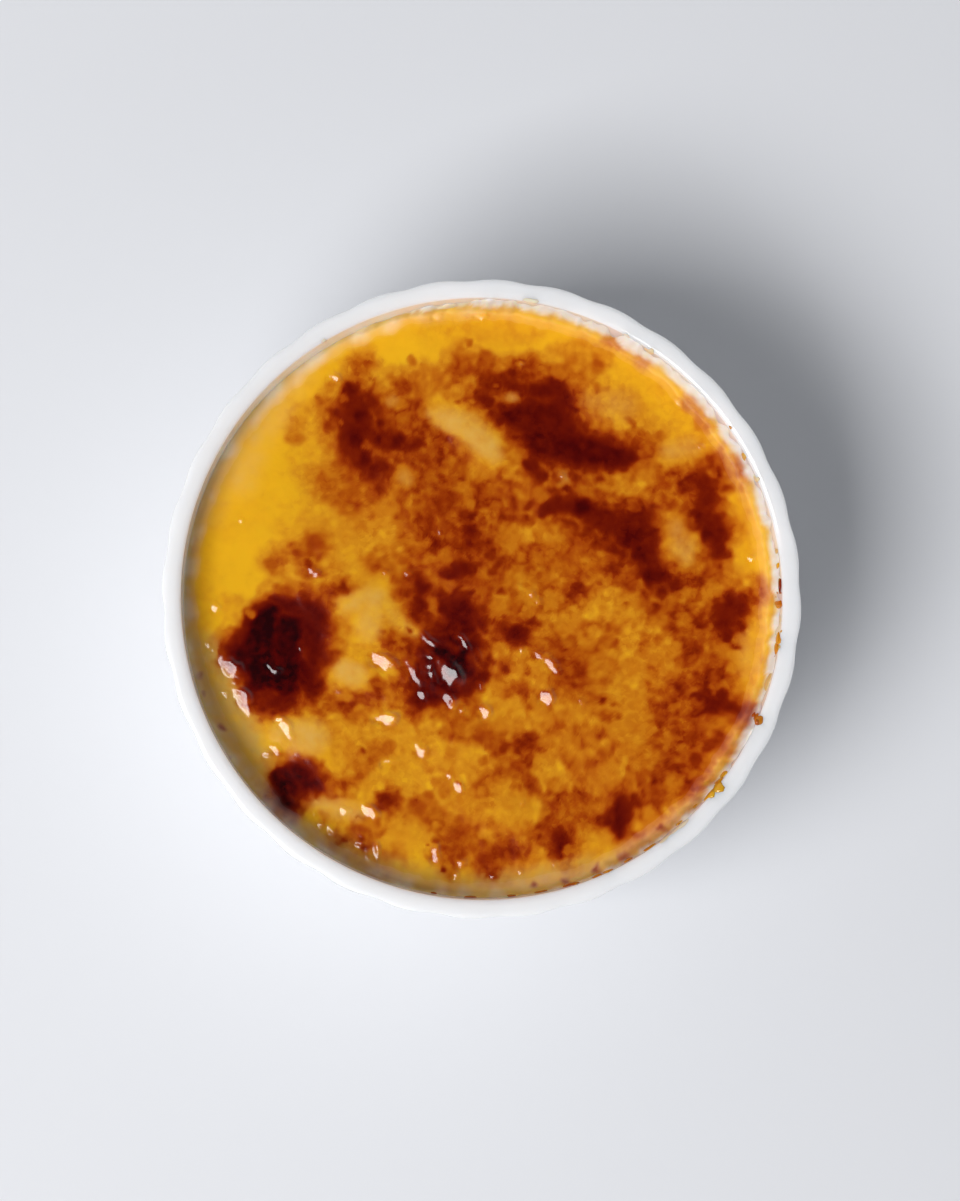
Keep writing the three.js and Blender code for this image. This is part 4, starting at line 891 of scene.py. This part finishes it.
cream = {
    "cells": 300,  # along the side of the square grid that is squeezed into the disc
    "crowd": 0.06,  # how far the grid's rings crowd towards the wall, where the film climbs
    "reach": 0.2,  # mm into the wall, so that no gap shows
    "film": (0.05, 0.45, 0.8),  # least and most climb of the film on the wall, and its width
    "filmTop": 6.2,  # mm, the highest it gets, just under the lip
    "farFilm": (10, 7, 0.6),  # where a spoon pushed it up: direction in degrees, more climb, more width
    "filmEdge": ((0.4, 3.4, 83), (0.2, 1.3, 88)),  # how far its edge wanders, over what length, and seed
    "wallLean": 0.066,  # how much the wall leans out over the cream
    "calm": (0.2, 1.2),  # mm off the wall over which the relief fades in
    "mottle": (2.6, 0.9),  # unevenness of the covers below: length in mm, and strength
    "sugared": (0.32, 0.6),  # burn over which the sugar hides them
    "paintedLightRim": (0.1, 2.7),  # mm off the wall over which painted light pales the custard, lifting the wall's shadow on it
    "paintedLightRimCover": (3.1, 0.2, 0.36),  # length in mm of its ripple, least cover, and more
    "spooned": 0.85,  # share of that painted light rim left off where the spoon went, on the lit side
    "wetness": (4.5, 1.4),  # how thick the climbing film is: length in mm of its noise, and most
    "wetSide": (-62, 1.1),  # where it stayed thick and yellow: direction in degrees, more thickness
    "filmThins": ((0.2, 0.9), (2.6, 2)),  # climb where it starts and ends to thin, each plus a share of that
    "filmCover": (0.94, 0.15),
    "paintedShadeEdge": (0.8, 3.4, 0.35, 0.65),  # mm off the wall over which the painted shade tone grows, its least, and more
    "mattThin": 0.12,  # cover at which a film has dried matt
    "mattEdge": (1.6, 2.4),  # and mm off the wall over which the spooned side turns glossy
    "sideHeights": [37, 34, 28, 20, 13],  # mm, rings down the hidden side
    # skin with air under it, where the custard looks paler: amount, softness, chain
    "pale": [
        (0.64, 2, [(-6.4, 26.6, 0.5), (-5, 26.2, 1.3), (-1.4, 24.8, 1.7), (1.3, 22.2, 1.6),
                   (2.6, 20.7, 0.9)]),
        (0.36, 2, [(28.3, 10.8, 0.7), (29.3, 8, 1.6), (29.8, 6.4, 0.9)]),
        (0.62, 1.8, [(-18.6, -10, 1.5), (-17.2, -10.6, 1.5)]),
        (0.56, 2.6, [(-18.4, -0.6, 1), (-14.6, 0.4, 1.4), (-15.4, -4, 1.4)]),
        (0.26, 2, [(-14.6, 1.6, 0.8), (-11.6, -2.4, 0.8), (-8.8, -4.6, 0.4)]),
        (0.72, 2.8, [(-27.4, -18.8, 1.4), (-23.4, -19.3, 2.1)]),
        (0.64, 2.2, [(-23, -28.5, 0.6), (-19.8, -29.4, 1.1), (-17, -29.9, 0.9)]),
        (0.4, 2.2, [(27.4, 21.6, 0.9), (30.4, 22.2, 1.1)]), (0.22, 3, [(16, 28.8, 0.8), (20.6, 28, 2)]),
        (0.3, 5, cleanArc),
        (0.28, 2.4, [(38.4, -4.6, 0.9), (38.6, -9.4, 1.2)]),
        (0.4, 4, [(-37.6, 12, 1.2), (-36.4, 17, 1.4), (-24.4, 32, 1.2)]),
        (0.42, 1.6, [(5, 29, 0.7), (5.3, 28.8, 0.6)]), (0.3, 1.6, [(12, 17.6, 0.8), (12.6, 17.6, 0.6)]),
        (0.3, 1.4, [(-12.2, 28.4, 0.6), (-11.8, 28.6, 0.5)]),
        (0.26, 1.6, [(-10.3, 17.6, 0.8), (-9.9, 17.2, 0.6)]),
    ],
    # the same for the grey tan painted as shade and as the wall's reflection along the left and lower edge
    "paintedShade": [
        (0.9, 3.4, [(-38.8, -7, 2), (-36.8, -12, 2.6), (-34.2, -18, 2.8), (-31.6, -22.6, 2.2)]),
        (0.6, 2.8, [(-27, -31, 1.3), (-22, -34, 1.3), (-15, -37.2, 1.3), (-6, -39.4, 1.2)]),
        (0.6, 2.4, [(-2, -40, 1), (8, -39.2, 1.4), (16, -37, 1)]),
        (0.35, 2.4, [(-38, -18, 1.5), (-40.8, -4, 1), (-41, 4, 0.6)]),
    ],
    # and for custard paled near the wall: partly a thin film over the white wall, partly painted light that
    # lifts the wall's shadow along the left and lower edge
    "filmAndPaintedLight": [
        (0.1, 2, [(-12, 40.4, 0.7), (-21, 36.2, 0.7), (-29, 30, 0.7)]),
        (0.34, 2.2, [(-31.8, 28, 0.6), (-36.2, 21.7, 0.6), (-40.2, 12, 0.7)]),
        (0.32, 2, [(-40.2, 10, 0.8), (-41.4, 3, 0.8), (-41.2, -4, 0.8)]),
        (0.24, 2.4, [(-41.2, -4, 1), (-39, -13, 1), (-34.6, -22, 1), (-28.6, -29.6, 1), (-20, -36.2, 0.9)]),
        (0.03, 5, cleanArc),
        (0.14, 2, [(-8, -41, 0.7), (4, -41, 0.9), (16, -38.6, 0.9), (26, -32.6, 0.7), (32, -27.4, 0.6)]),
        (0.06, 2.4, [(40.9, -9, 0.8), (41.4, 4, 0.8), (39.4, 14, 0.8), (34.2, 24, 0.8)]),
    ],
}


def discGrid(count):
    # A square grid squeezed into a disc of radius 1: a point's ring is its larger coordinate, and the other
    # takes it round the ring, so that all cells keep about the same area
    line = np.linspace(-1, 1, count + 1)
    u, v = np.meshgrid(line, line)
    wide = np.abs(u) >= np.abs(v)
    ring = np.where(wide, u, v)
    ratio = np.where(wide, v, u) / np.where(ring == 0, 1, ring)
    turn = np.where(wide, ratio * np.pi / 4, np.pi / 2 - ratio * np.pi / 4)
    return ring * np.cos(turn), ring * np.sin(turn)


def filmAt(turn, inward):
    # How far the film of custard climbs the wall, and where it was pushed up: a wandering height, raised on
    # one side, that falls to nothing over the film's width
    low, high, wide = cream["film"]
    way, more, wider = cream["farFilm"]
    share = np.clip(0.5 + 0.6 * layered(40 * np.cos(turn), 40 * np.sin(turn), 7, 81, 3), 0, 1)
    pushed = smooth(np.cos(turn - np.radians(way)), -0.5, 0.5)
    film = np.minimum(low + (high - low) * share + more * pushed, cream["filmTop"])
    return film * (1 - smooth(inward, 0, wide + wider * pushed)) ** (2 + pushed), pushed


def creamLooks(x, y, skinX, skinY, burn, turn, inward, climb, pushed):
    # How pale and matt the custard is at each point, and how much of the painted shade tone and of the pale
    # film and painted light it takes: the highest of the chains' covers, mottled and kept off the burnt
    # sugar, with the film thinning out as it climbs. The shade tone is painted shade and the wall's
    # reflection; the pale rim on the shaded side is painted light.
    looks = {}
    length, strength = cream["mottle"]
    for label in ("pale", "paintedShade", "filmAndPaintedLight"):
        looks[label] = np.zeros(np.shape(x))
        for amount, soft, chain in cream[label]:
            cover = amount * (1 - smooth(outside(skinX, skinY, chain), -soft / 2, soft / 2))
            looks[label] = np.maximum(looks[label], cover)
        looks[label] = looks[label] * (1 + strength * layered(x, y, length, 85, 3))
        looks[label] = looks[label] * (1 - smooth(burn, *cream["sugared"]))
    # painted light: a pale band along the wall, mostly on the shaded side, that lifts the wall's shadow on
    # the custard
    length, least, more = cream["paintedLightRimCover"]
    rim = 1 - smooth(inward, *cream["paintedLightRim"])
    rim = rim * (least + more * smooth(ripple(x, y, length, 84), -0.3, 0.6))
    rim = rim * (1 - cream["spooned"] * pushed)
    length, most = cream["wetness"]
    thick = most * smooth(layered(x, y, length, 86, 3), -0.3, 0.5)
    way, more = cream["wetSide"]
    thick = thick + more * smooth(np.cos(turn - np.radians(way)), 0.6, 0.95)
    start, end = (place + share * thick for place, share in cream["filmThins"])
    cover, uneven = cream["filmCover"]
    thinning = smooth(climb, start, end) * (cover + uneven * ripple(x, y, 1.1, 87))
    looks["filmAndPaintedLight"] = np.maximum(looks["filmAndPaintedLight"], np.maximum(rim, thinning))
    # the painted shade tone is kept lighter right at the wall
    low, high, least, more = cream["paintedShadeEdge"]
    looks["paintedShade"] = looks["paintedShade"] * (least + more * smooth(inward, low, high))
    dried = smooth(looks["filmAndPaintedLight"], 0, cream["mattThin"])
    looks["matt"] = np.maximum(dried, pushed * (1 - smooth(inward, *cream["mattEdge"])))
    return looks


def makeCream(material):
    # The top is the disc grid raised by heightAt. The side follows the bore down from the grid's outline, and
    # the bottom is a fan on the floor.
    count, reach = cream["cells"], cream["reach"]
    bore = boreProfile()[::-1]  # from the bottom up, as interpolation needs
    top = np.interp(creamLevel, bore[:, 1], bore[:, 0]) + reach
    gridX, gridY = discGrid(count)
    crowd = cream["crowd"] * (1 - np.hypot(gridX, gridY) ** 8)
    x, y = gridX * top * (1 + crowd), gridY * top * (1 + crowd)
    far, turn = np.hypot(x, y), np.arctan2(y, x)
    middleX, middleY = crust["middle"]
    skinX, skinY = x - middleX, y - middleY
    burn = burnAt(skinX, skinY)
    inward = top - far
    for wander, length, seed in cream["filmEdge"]:
        inward = inward + wander * ripple(x, y, length, seed)
    climb, pushed = filmAt(turn, inward)
    calm = smooth(top - far, *cream["calm"])
    z = creamLevel + heightAt(skinX, skinY, burn) * calm + climb
    follow = 1 + cream["wallLean"] * climb / np.maximum(far, 1)
    x, y = x * follow, y * follow
    looks = creamLooks(x, y, skinX, skinY, burn, turn, inward, climb, pushed)

    # the outline of the grid, counterclockwise
    rows = np.arange((count + 1) ** 2).reshape(count + 1, count + 1)
    outline = np.concatenate([rows[0, :-1], rows[:-1, -1], rows[-1, :0:-1], rows[:0:-1, 0]])
    quads = np.stack([rows[:-1, :-1], rows[:-1, 1:], rows[1:, 1:], rows[1:, :-1]], -1).reshape(-1, 4)
    points = np.stack([x, y, z], -1).reshape(-1, 3)

    heights = np.array(cream["sideHeights"], float)
    side = np.stack([np.interp(heights, bore[:, 1], bore[:, 0]) + reach, heights], 1)
    side = np.vstack([side, floorFillet(reach, 6)])
    angle = np.arctan2(points[outline, 1], points[outline, 0])
    lower = roundAxis(side[:, :1], angle, side[:, 1:])
    start, sides = len(points), len(outline)
    ring = start + np.arange(sides)
    first = np.stack([ring, np.roll(ring, -1), np.roll(outline, -1), outline], 1)
    below = ringFaces(len(side), sides)[:, ::-1] + start
    bottom = fan(start + len(lower), ring + (len(side) - 1) * sides)
    points = np.vstack([points, lower, [[0, 0, side[-1, 1]]]])
    hidden = np.zeros(len(lower) + 1)
    attributes = {
        "burn": np.append(burn.ravel(), hidden),
        **{label: np.append(np.clip(look, 0, 1).ravel(), hidden) for label, look in looks.items()},
    }
    piece = makePiece("creamTorched", points, np.vstack([quads, first, below]), bottom, attributes, material)
    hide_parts("cream")
    return piece


# Drips and crumbs on the bare wall over the cream: direction in degrees, way up the wall in mm, width,
# height, thickness, burn
splashes = {
    "drops": [
        (2.8, 5, 2, 2, 0.25, 0.8), (-0.8, 3.4, 1.2, 6, 0.35, 0.34), (6.5, 4.4, 1, 2.4, 0.15, 0.14),
        (8.8, 1.8, 1.4, 2.4, 0.2, 0.12), (9.3, 5, 0.9, 1.8, 0.12, 0.08), (-4, 5, 1.4, 1.8, 0.1, 0.05),
        (-7.6, 5.1, 2, 2.8, 0.24, 0.2), (-9.4, 4.8, 1.7, 3, 0.24, 0.26), (-16, 3.8, 2.4, 4, 0.2, 0.08),
        (-23.8, 6.4, 1.6, 1.7, 0.4, 0.3), (-24.2, 6.7, 0.8, 0.7, 0.5, 0.5), (-23.2, 4.4, 1, 2.8, 0.3, 0.42),
        (-22.8, 2.4, 1.1, 3.2, 0.35, 0.5), (-22.2, 0.8, 1.6, 2.4, 0.4, 0.56),
        (-30.4, 2.4, 1.8, 2.6, 0.2, 0.14), (-27, 1.4, 1.2, 1.6, 0.2, 0.1), (-35.6, 3.8, 2, 3.2, 0.24, 0.13),
        (-38.4, 5.4, 2.8, 3.6, 0.28, 0.14), (-40.4, 5.6, 2.4, 3, 0.26, 0.12),
        (-38.8, 3.4, 2.8, 3.2, 0.26, 0.16), (-38, 4.8, 0.8, 1.6, 0.3, 0.3), (-44.2, 2.4, 1.8, 3, 0.2, 0.16),
        (-49.4, 6.4, 3.2, 1.1, 0.07, 0.05), (-52.6, 6.2, 2.2, 1.4, 0.08, 0.06),
        (-48.2, 3.4, 2, 2.4, 0.15, 0.1), (-56.2, 4.8, 2, 2.6, 0.2, 0.2), (-60.6, 3.6, 1.6, 3, 0.2, 0.3),
        (-65.2, 5, 1.6, 2.6, 0.2, 0.24), (-67.4, 4.6, 1.6, 2.6, 0.2, 0.32), (-72.6, 3.4, 2.2, 3.6, 0.3, 0.48),
        (-78.4, 2.4, 2, 2.2, 0.2, 0.4), (-84.2, 2, 1.5, 2.2, 0.25, 0.46), (-92, 1.6, 1.8, 1.8, 0.25, 0.42),
        (-99, 0.9, 1, 1.2, 0.25, 0.5), (23.7, 5.7, 1, 2.2, 0.14, 0.06), (28.6, 5.1, 1.2, 2.4, 0.18, 0.1),
        (43.2, 1.6, 2.6, 2.6, 0.3, 0.2), (56, 5.6, 1.4, 2.6, 0.16, 0.06), (61.2, 6.3, 1, 0.9, 0.1, 0.03),
        (80.8, 6.5, 1.9, 1.4, 0.14, 0.03), (96.4, 1.6, 3.4, 2.6, 0.3, 0.03), (86.4, 1.3, 3.2, 2, 0.3, 0.04),
        (121.8, 6.4, 0.9, 1, 0.1, 0.03),
    ],
    "crumbs": 26,
    "crumbSeed": 5,
    "crumbSpread": 36,  # degrees either way of +X
    "crumbWay": (0.4, 6.4),  # lowest way up the wall, and how much further they reach
    "crumbWidth": (0.25, 0.6),
    "crumbStretch": (0.8, 1.8),  # height over width
    "crumbThickness": (0.08, 0.18),
    "crumbBurn": (0.02, 0.5),
    "lobes": (0.18, 0.12, 0.07),  # how uneven the outlines are, in two, three and five lobes
    "wallRadius": 42,  # mm, about, which turns a width into an angle
    "rings": 9,
    "sides": 18,
}


def makeSplashes(material):
    # Each drop is a flattened ball half sunk in the wall: latitude and longitude on a grid, with an uneven
    # outline, laid across, up and out of the inner wall's profile
    s = splashes
    bore = boreProfile()
    wall = np.vstack([bore[::-1], lipArch(ramekin["lipSteps"])[-2::-1]])
    way = np.append(0, np.cumsum(np.hypot(*np.diff(wall, axis=0).T)))
    way = way - np.interp(creamLevel, wall[:, 1], way)
    rng = np.random.default_rng(s["crumbSeed"])
    count = s["crumbs"]
    lowest, reach = s["crumbWay"]
    size = rng.uniform(*s["crumbWidth"], count)
    crumbs = np.stack([
        rng.normal(0, s["crumbSpread"], count), reach * rng.random(count) + lowest,
        size, size * rng.uniform(*s["crumbStretch"], count),
        rng.uniform(*s["crumbThickness"], count), rng.uniform(*s["crumbBurn"], count)], 1)
    drops = np.vstack([np.array(s["drops"]), crumbs])
    turn, up, wide, tall, thick, burn = (column[:, None] for column in drops.T)

    rings, sides = s["rings"], s["sides"]
    lat = np.radians(np.linspace(-90, 90, rings + 2))[1:-1]
    lon = np.linspace(0, 2 * np.pi, sides, endpoint=False)
    lat, lon = (grid.ravel() for grid in np.meshgrid(lat, lon, indexing="ij"))
    phase = rng.uniform(0, 2 * np.pi, (len(drops), 2))
    two, three, five = s["lobes"]
    uneven = 1 + two * np.sin(2 * lon + phase[:, :1]) + three * np.sin(3 * lon + phase[:, 1:])
    uneven = uneven + five * np.sin(5 * lon + phase[:, :1] - phase[:, 1:])
    across = np.cos(lat) * np.cos(lon) * uneven * wide / 2
    along = np.cos(lat) * np.sin(lon) * uneven * tall / 2
    out = np.sin(lat) * thick + 0 * across
    pole = np.zeros((len(drops), 1))
    across, along = np.hstack([across, pole, pole]), np.hstack([along, pole, pole])
    out = np.hstack([out, -thick, thick])

    # out of the wall is to the left of the way up it, which is the step from just below to just above
    place, step = up + along, 0.5
    radius, z = (np.interp(place, way, column) for column in wall.T)
    (r0, z0), (r1, z1) = ([np.interp(at, way, column) for column in wall.T]
                          for at in (place - step, place + step))
    dr, dz = r1 - r0, z1 - z0
    size = np.hypot(dr, dz) + 1e-9
    radius, z = radius - out * dz / size, z + out * dr / size
    angle = np.radians(turn) + across / s["wallRadius"]
    points = roundAxis(radius, angle, z)

    each = rings * sides + 2
    around = np.arange(sides)
    caps = np.vstack([fan(each - 2, around), fan(each - 1, (rings - 1) * sides + around)[:, [0, 2, 1]]])
    shift = (np.arange(len(drops)) * each)[:, None, None]
    quads = (ringFaces(rings, sides)[None] + shift).reshape(-1, 4)[:, ::-1]
    triangles = (caps[None] + shift).reshape(-1, 3)[:, ::-1]
    burns = np.repeat(burn[:, 0], each)
    attributes = {
        "burn": burns, "pale": 0 * burns, "paintedShade": 0 * burns,
        "filmAndPaintedLight": 0.6 * (1 - smooth(burns, 0.03, 0.12)), "matt": 1 - smooth(burns, 0.04, 0.12),
    }
    piece = makePiece("wallSplashes", points, quads, triangles, attributes, material)
    return piece


porcelainFinish = porcelainMaterial()
caramelFinish = caramelMaterial()
print("materials made")
makeRamekin(porcelainFinish)
makeCream(caramelFinish)
makeSplashes(caramelFinish)

studio = {
    "floorColour": "#e3e4e7",
    "floorRoughness": 0.55,
    "floorSize": 6,  # m
    "windowDistance": 1.5,  # m
    "windowSize": (0.69, 0.8),  # m
    "windowTurn": 215,  # where the light comes from: degrees from +X
    "windowHeight": 56,  # and over the floor
    "windowPower": 20.7,  # W
    "windowColour": "#fefeff",
    "skyLow": 0.62,  # strength of the room's light at the horizon,
    "skyHigh": 0.02,  # and overhead
    "skyFade": 0.32,  # share of the way up where it starts to fade
    "skyColour": "#eef1f6",
    "cameraDistance": 0.65,  # m
    "cameraTilt": 5.2,  # degrees off the vertical
    "cameraTurn": 225,  # and which way, from +X
    "lens": 172,  # mm
    "sensor": 36,  # mm, its width
}


def direction(turn, height):
    # Unit vector from the dish towards a direction and a height over the floor, in degrees
    t, h = np.radians(turn), np.radians(height)
    return np.array([np.cos(h) * np.cos(t), np.cos(h) * np.sin(t), np.sin(h)])


def aim(thing, place, target):
    # Stands a lamp or the camera at a place, looking at the target with +Y up in its view
    back = Vector(place - target).normalized()
    right = Vector((0, 1, 0)).cross(back).normalized()
    up = back.cross(right)
    turned = Matrix((right, up, back)).transposed().to_4x4()
    thing.matrix_world = Matrix.Translation(Vector(place)) @ turned


def makeStudio():
    # A plain pale floor, a window on the left, the room's soft light and the camera
    material, tree = newMaterial("matt pale board")
    board = addNode(tree, "BsdfPrincipled", {},
                    {"Base Color": linear(studio["floorColour"]), "Roughness": studio["floorRoughness"]})
    addNode(tree, "OutputMaterial", {}, {"Surface": board.outputs[0]})
    half = studio["floorSize"] / 2
    mesh = bpy.data.meshes.new("floor")
    corners = [(-half, -half, 0), (half, -half, 0), (half, half, 0), (-half, half, 0)]
    mesh.from_pydata(corners, [], [(0, 1, 2, 3)])
    mesh.materials.append(material)
    floor = newObject("floor", mesh)

    lamp = bpy.data.lights.new("window", "AREA")
    lamp.shape = "RECTANGLE"
    lamp.size, lamp.size_y = studio["windowSize"]
    lamp.energy = studio["windowPower"]
    lamp.color = linear(studio["windowColour"])[:3]
    middle = np.array([0, 0, creamLevel * mm])
    towards = direction(studio["windowTurn"], studio["windowHeight"])
    aim(newObject("window", lamp), middle + studio["windowDistance"] * towards, middle)

    world = bpy.data.worlds.new("room")
    world.use_nodes = True
    tree = world.node_tree
    tree.nodes.clear()
    way = addNode(tree, "TexCoord", {}, {}).outputs["Generated"]
    height = addNode(tree, "SeparateXYZ", {}, {"Vector": way}).outputs["Z"]
    strength = addNode(tree, "MapRange", {"interpolation_type": "SMOOTHSTEP"},
                       {"Value": height, "From Min": studio["skyFade"], "From Max": 1,
                        "To Min": studio["skyLow"], "To Max": studio["skyHigh"]})
    sky = addNode(tree, "Background", {},
                  {"Color": linear(studio["skyColour"]), "Strength": strength.outputs[0]})
    addNode(tree, "OutputWorld", {}, {"Surface": sky.outputs[0]})
    bpy.context.scene.world = world

    lens = bpy.data.cameras.new("camera")
    lens.sensor_fit = "HORIZONTAL"
    lens.sensor_width = studio["sensor"]
    lens.lens = studio["lens"]
    lens.clip_start = 0.05
    camera = newObject("camera", lens)
    away = direction(studio["cameraTurn"], 90 - studio["cameraTilt"])
    aim(camera, middle + studio["cameraDistance"] * away, middle)
    bpy.context.scene.camera = camera


makeStudio()
bpy.context.scene.view_settings.view_transform = "Standard"
print("studio made")
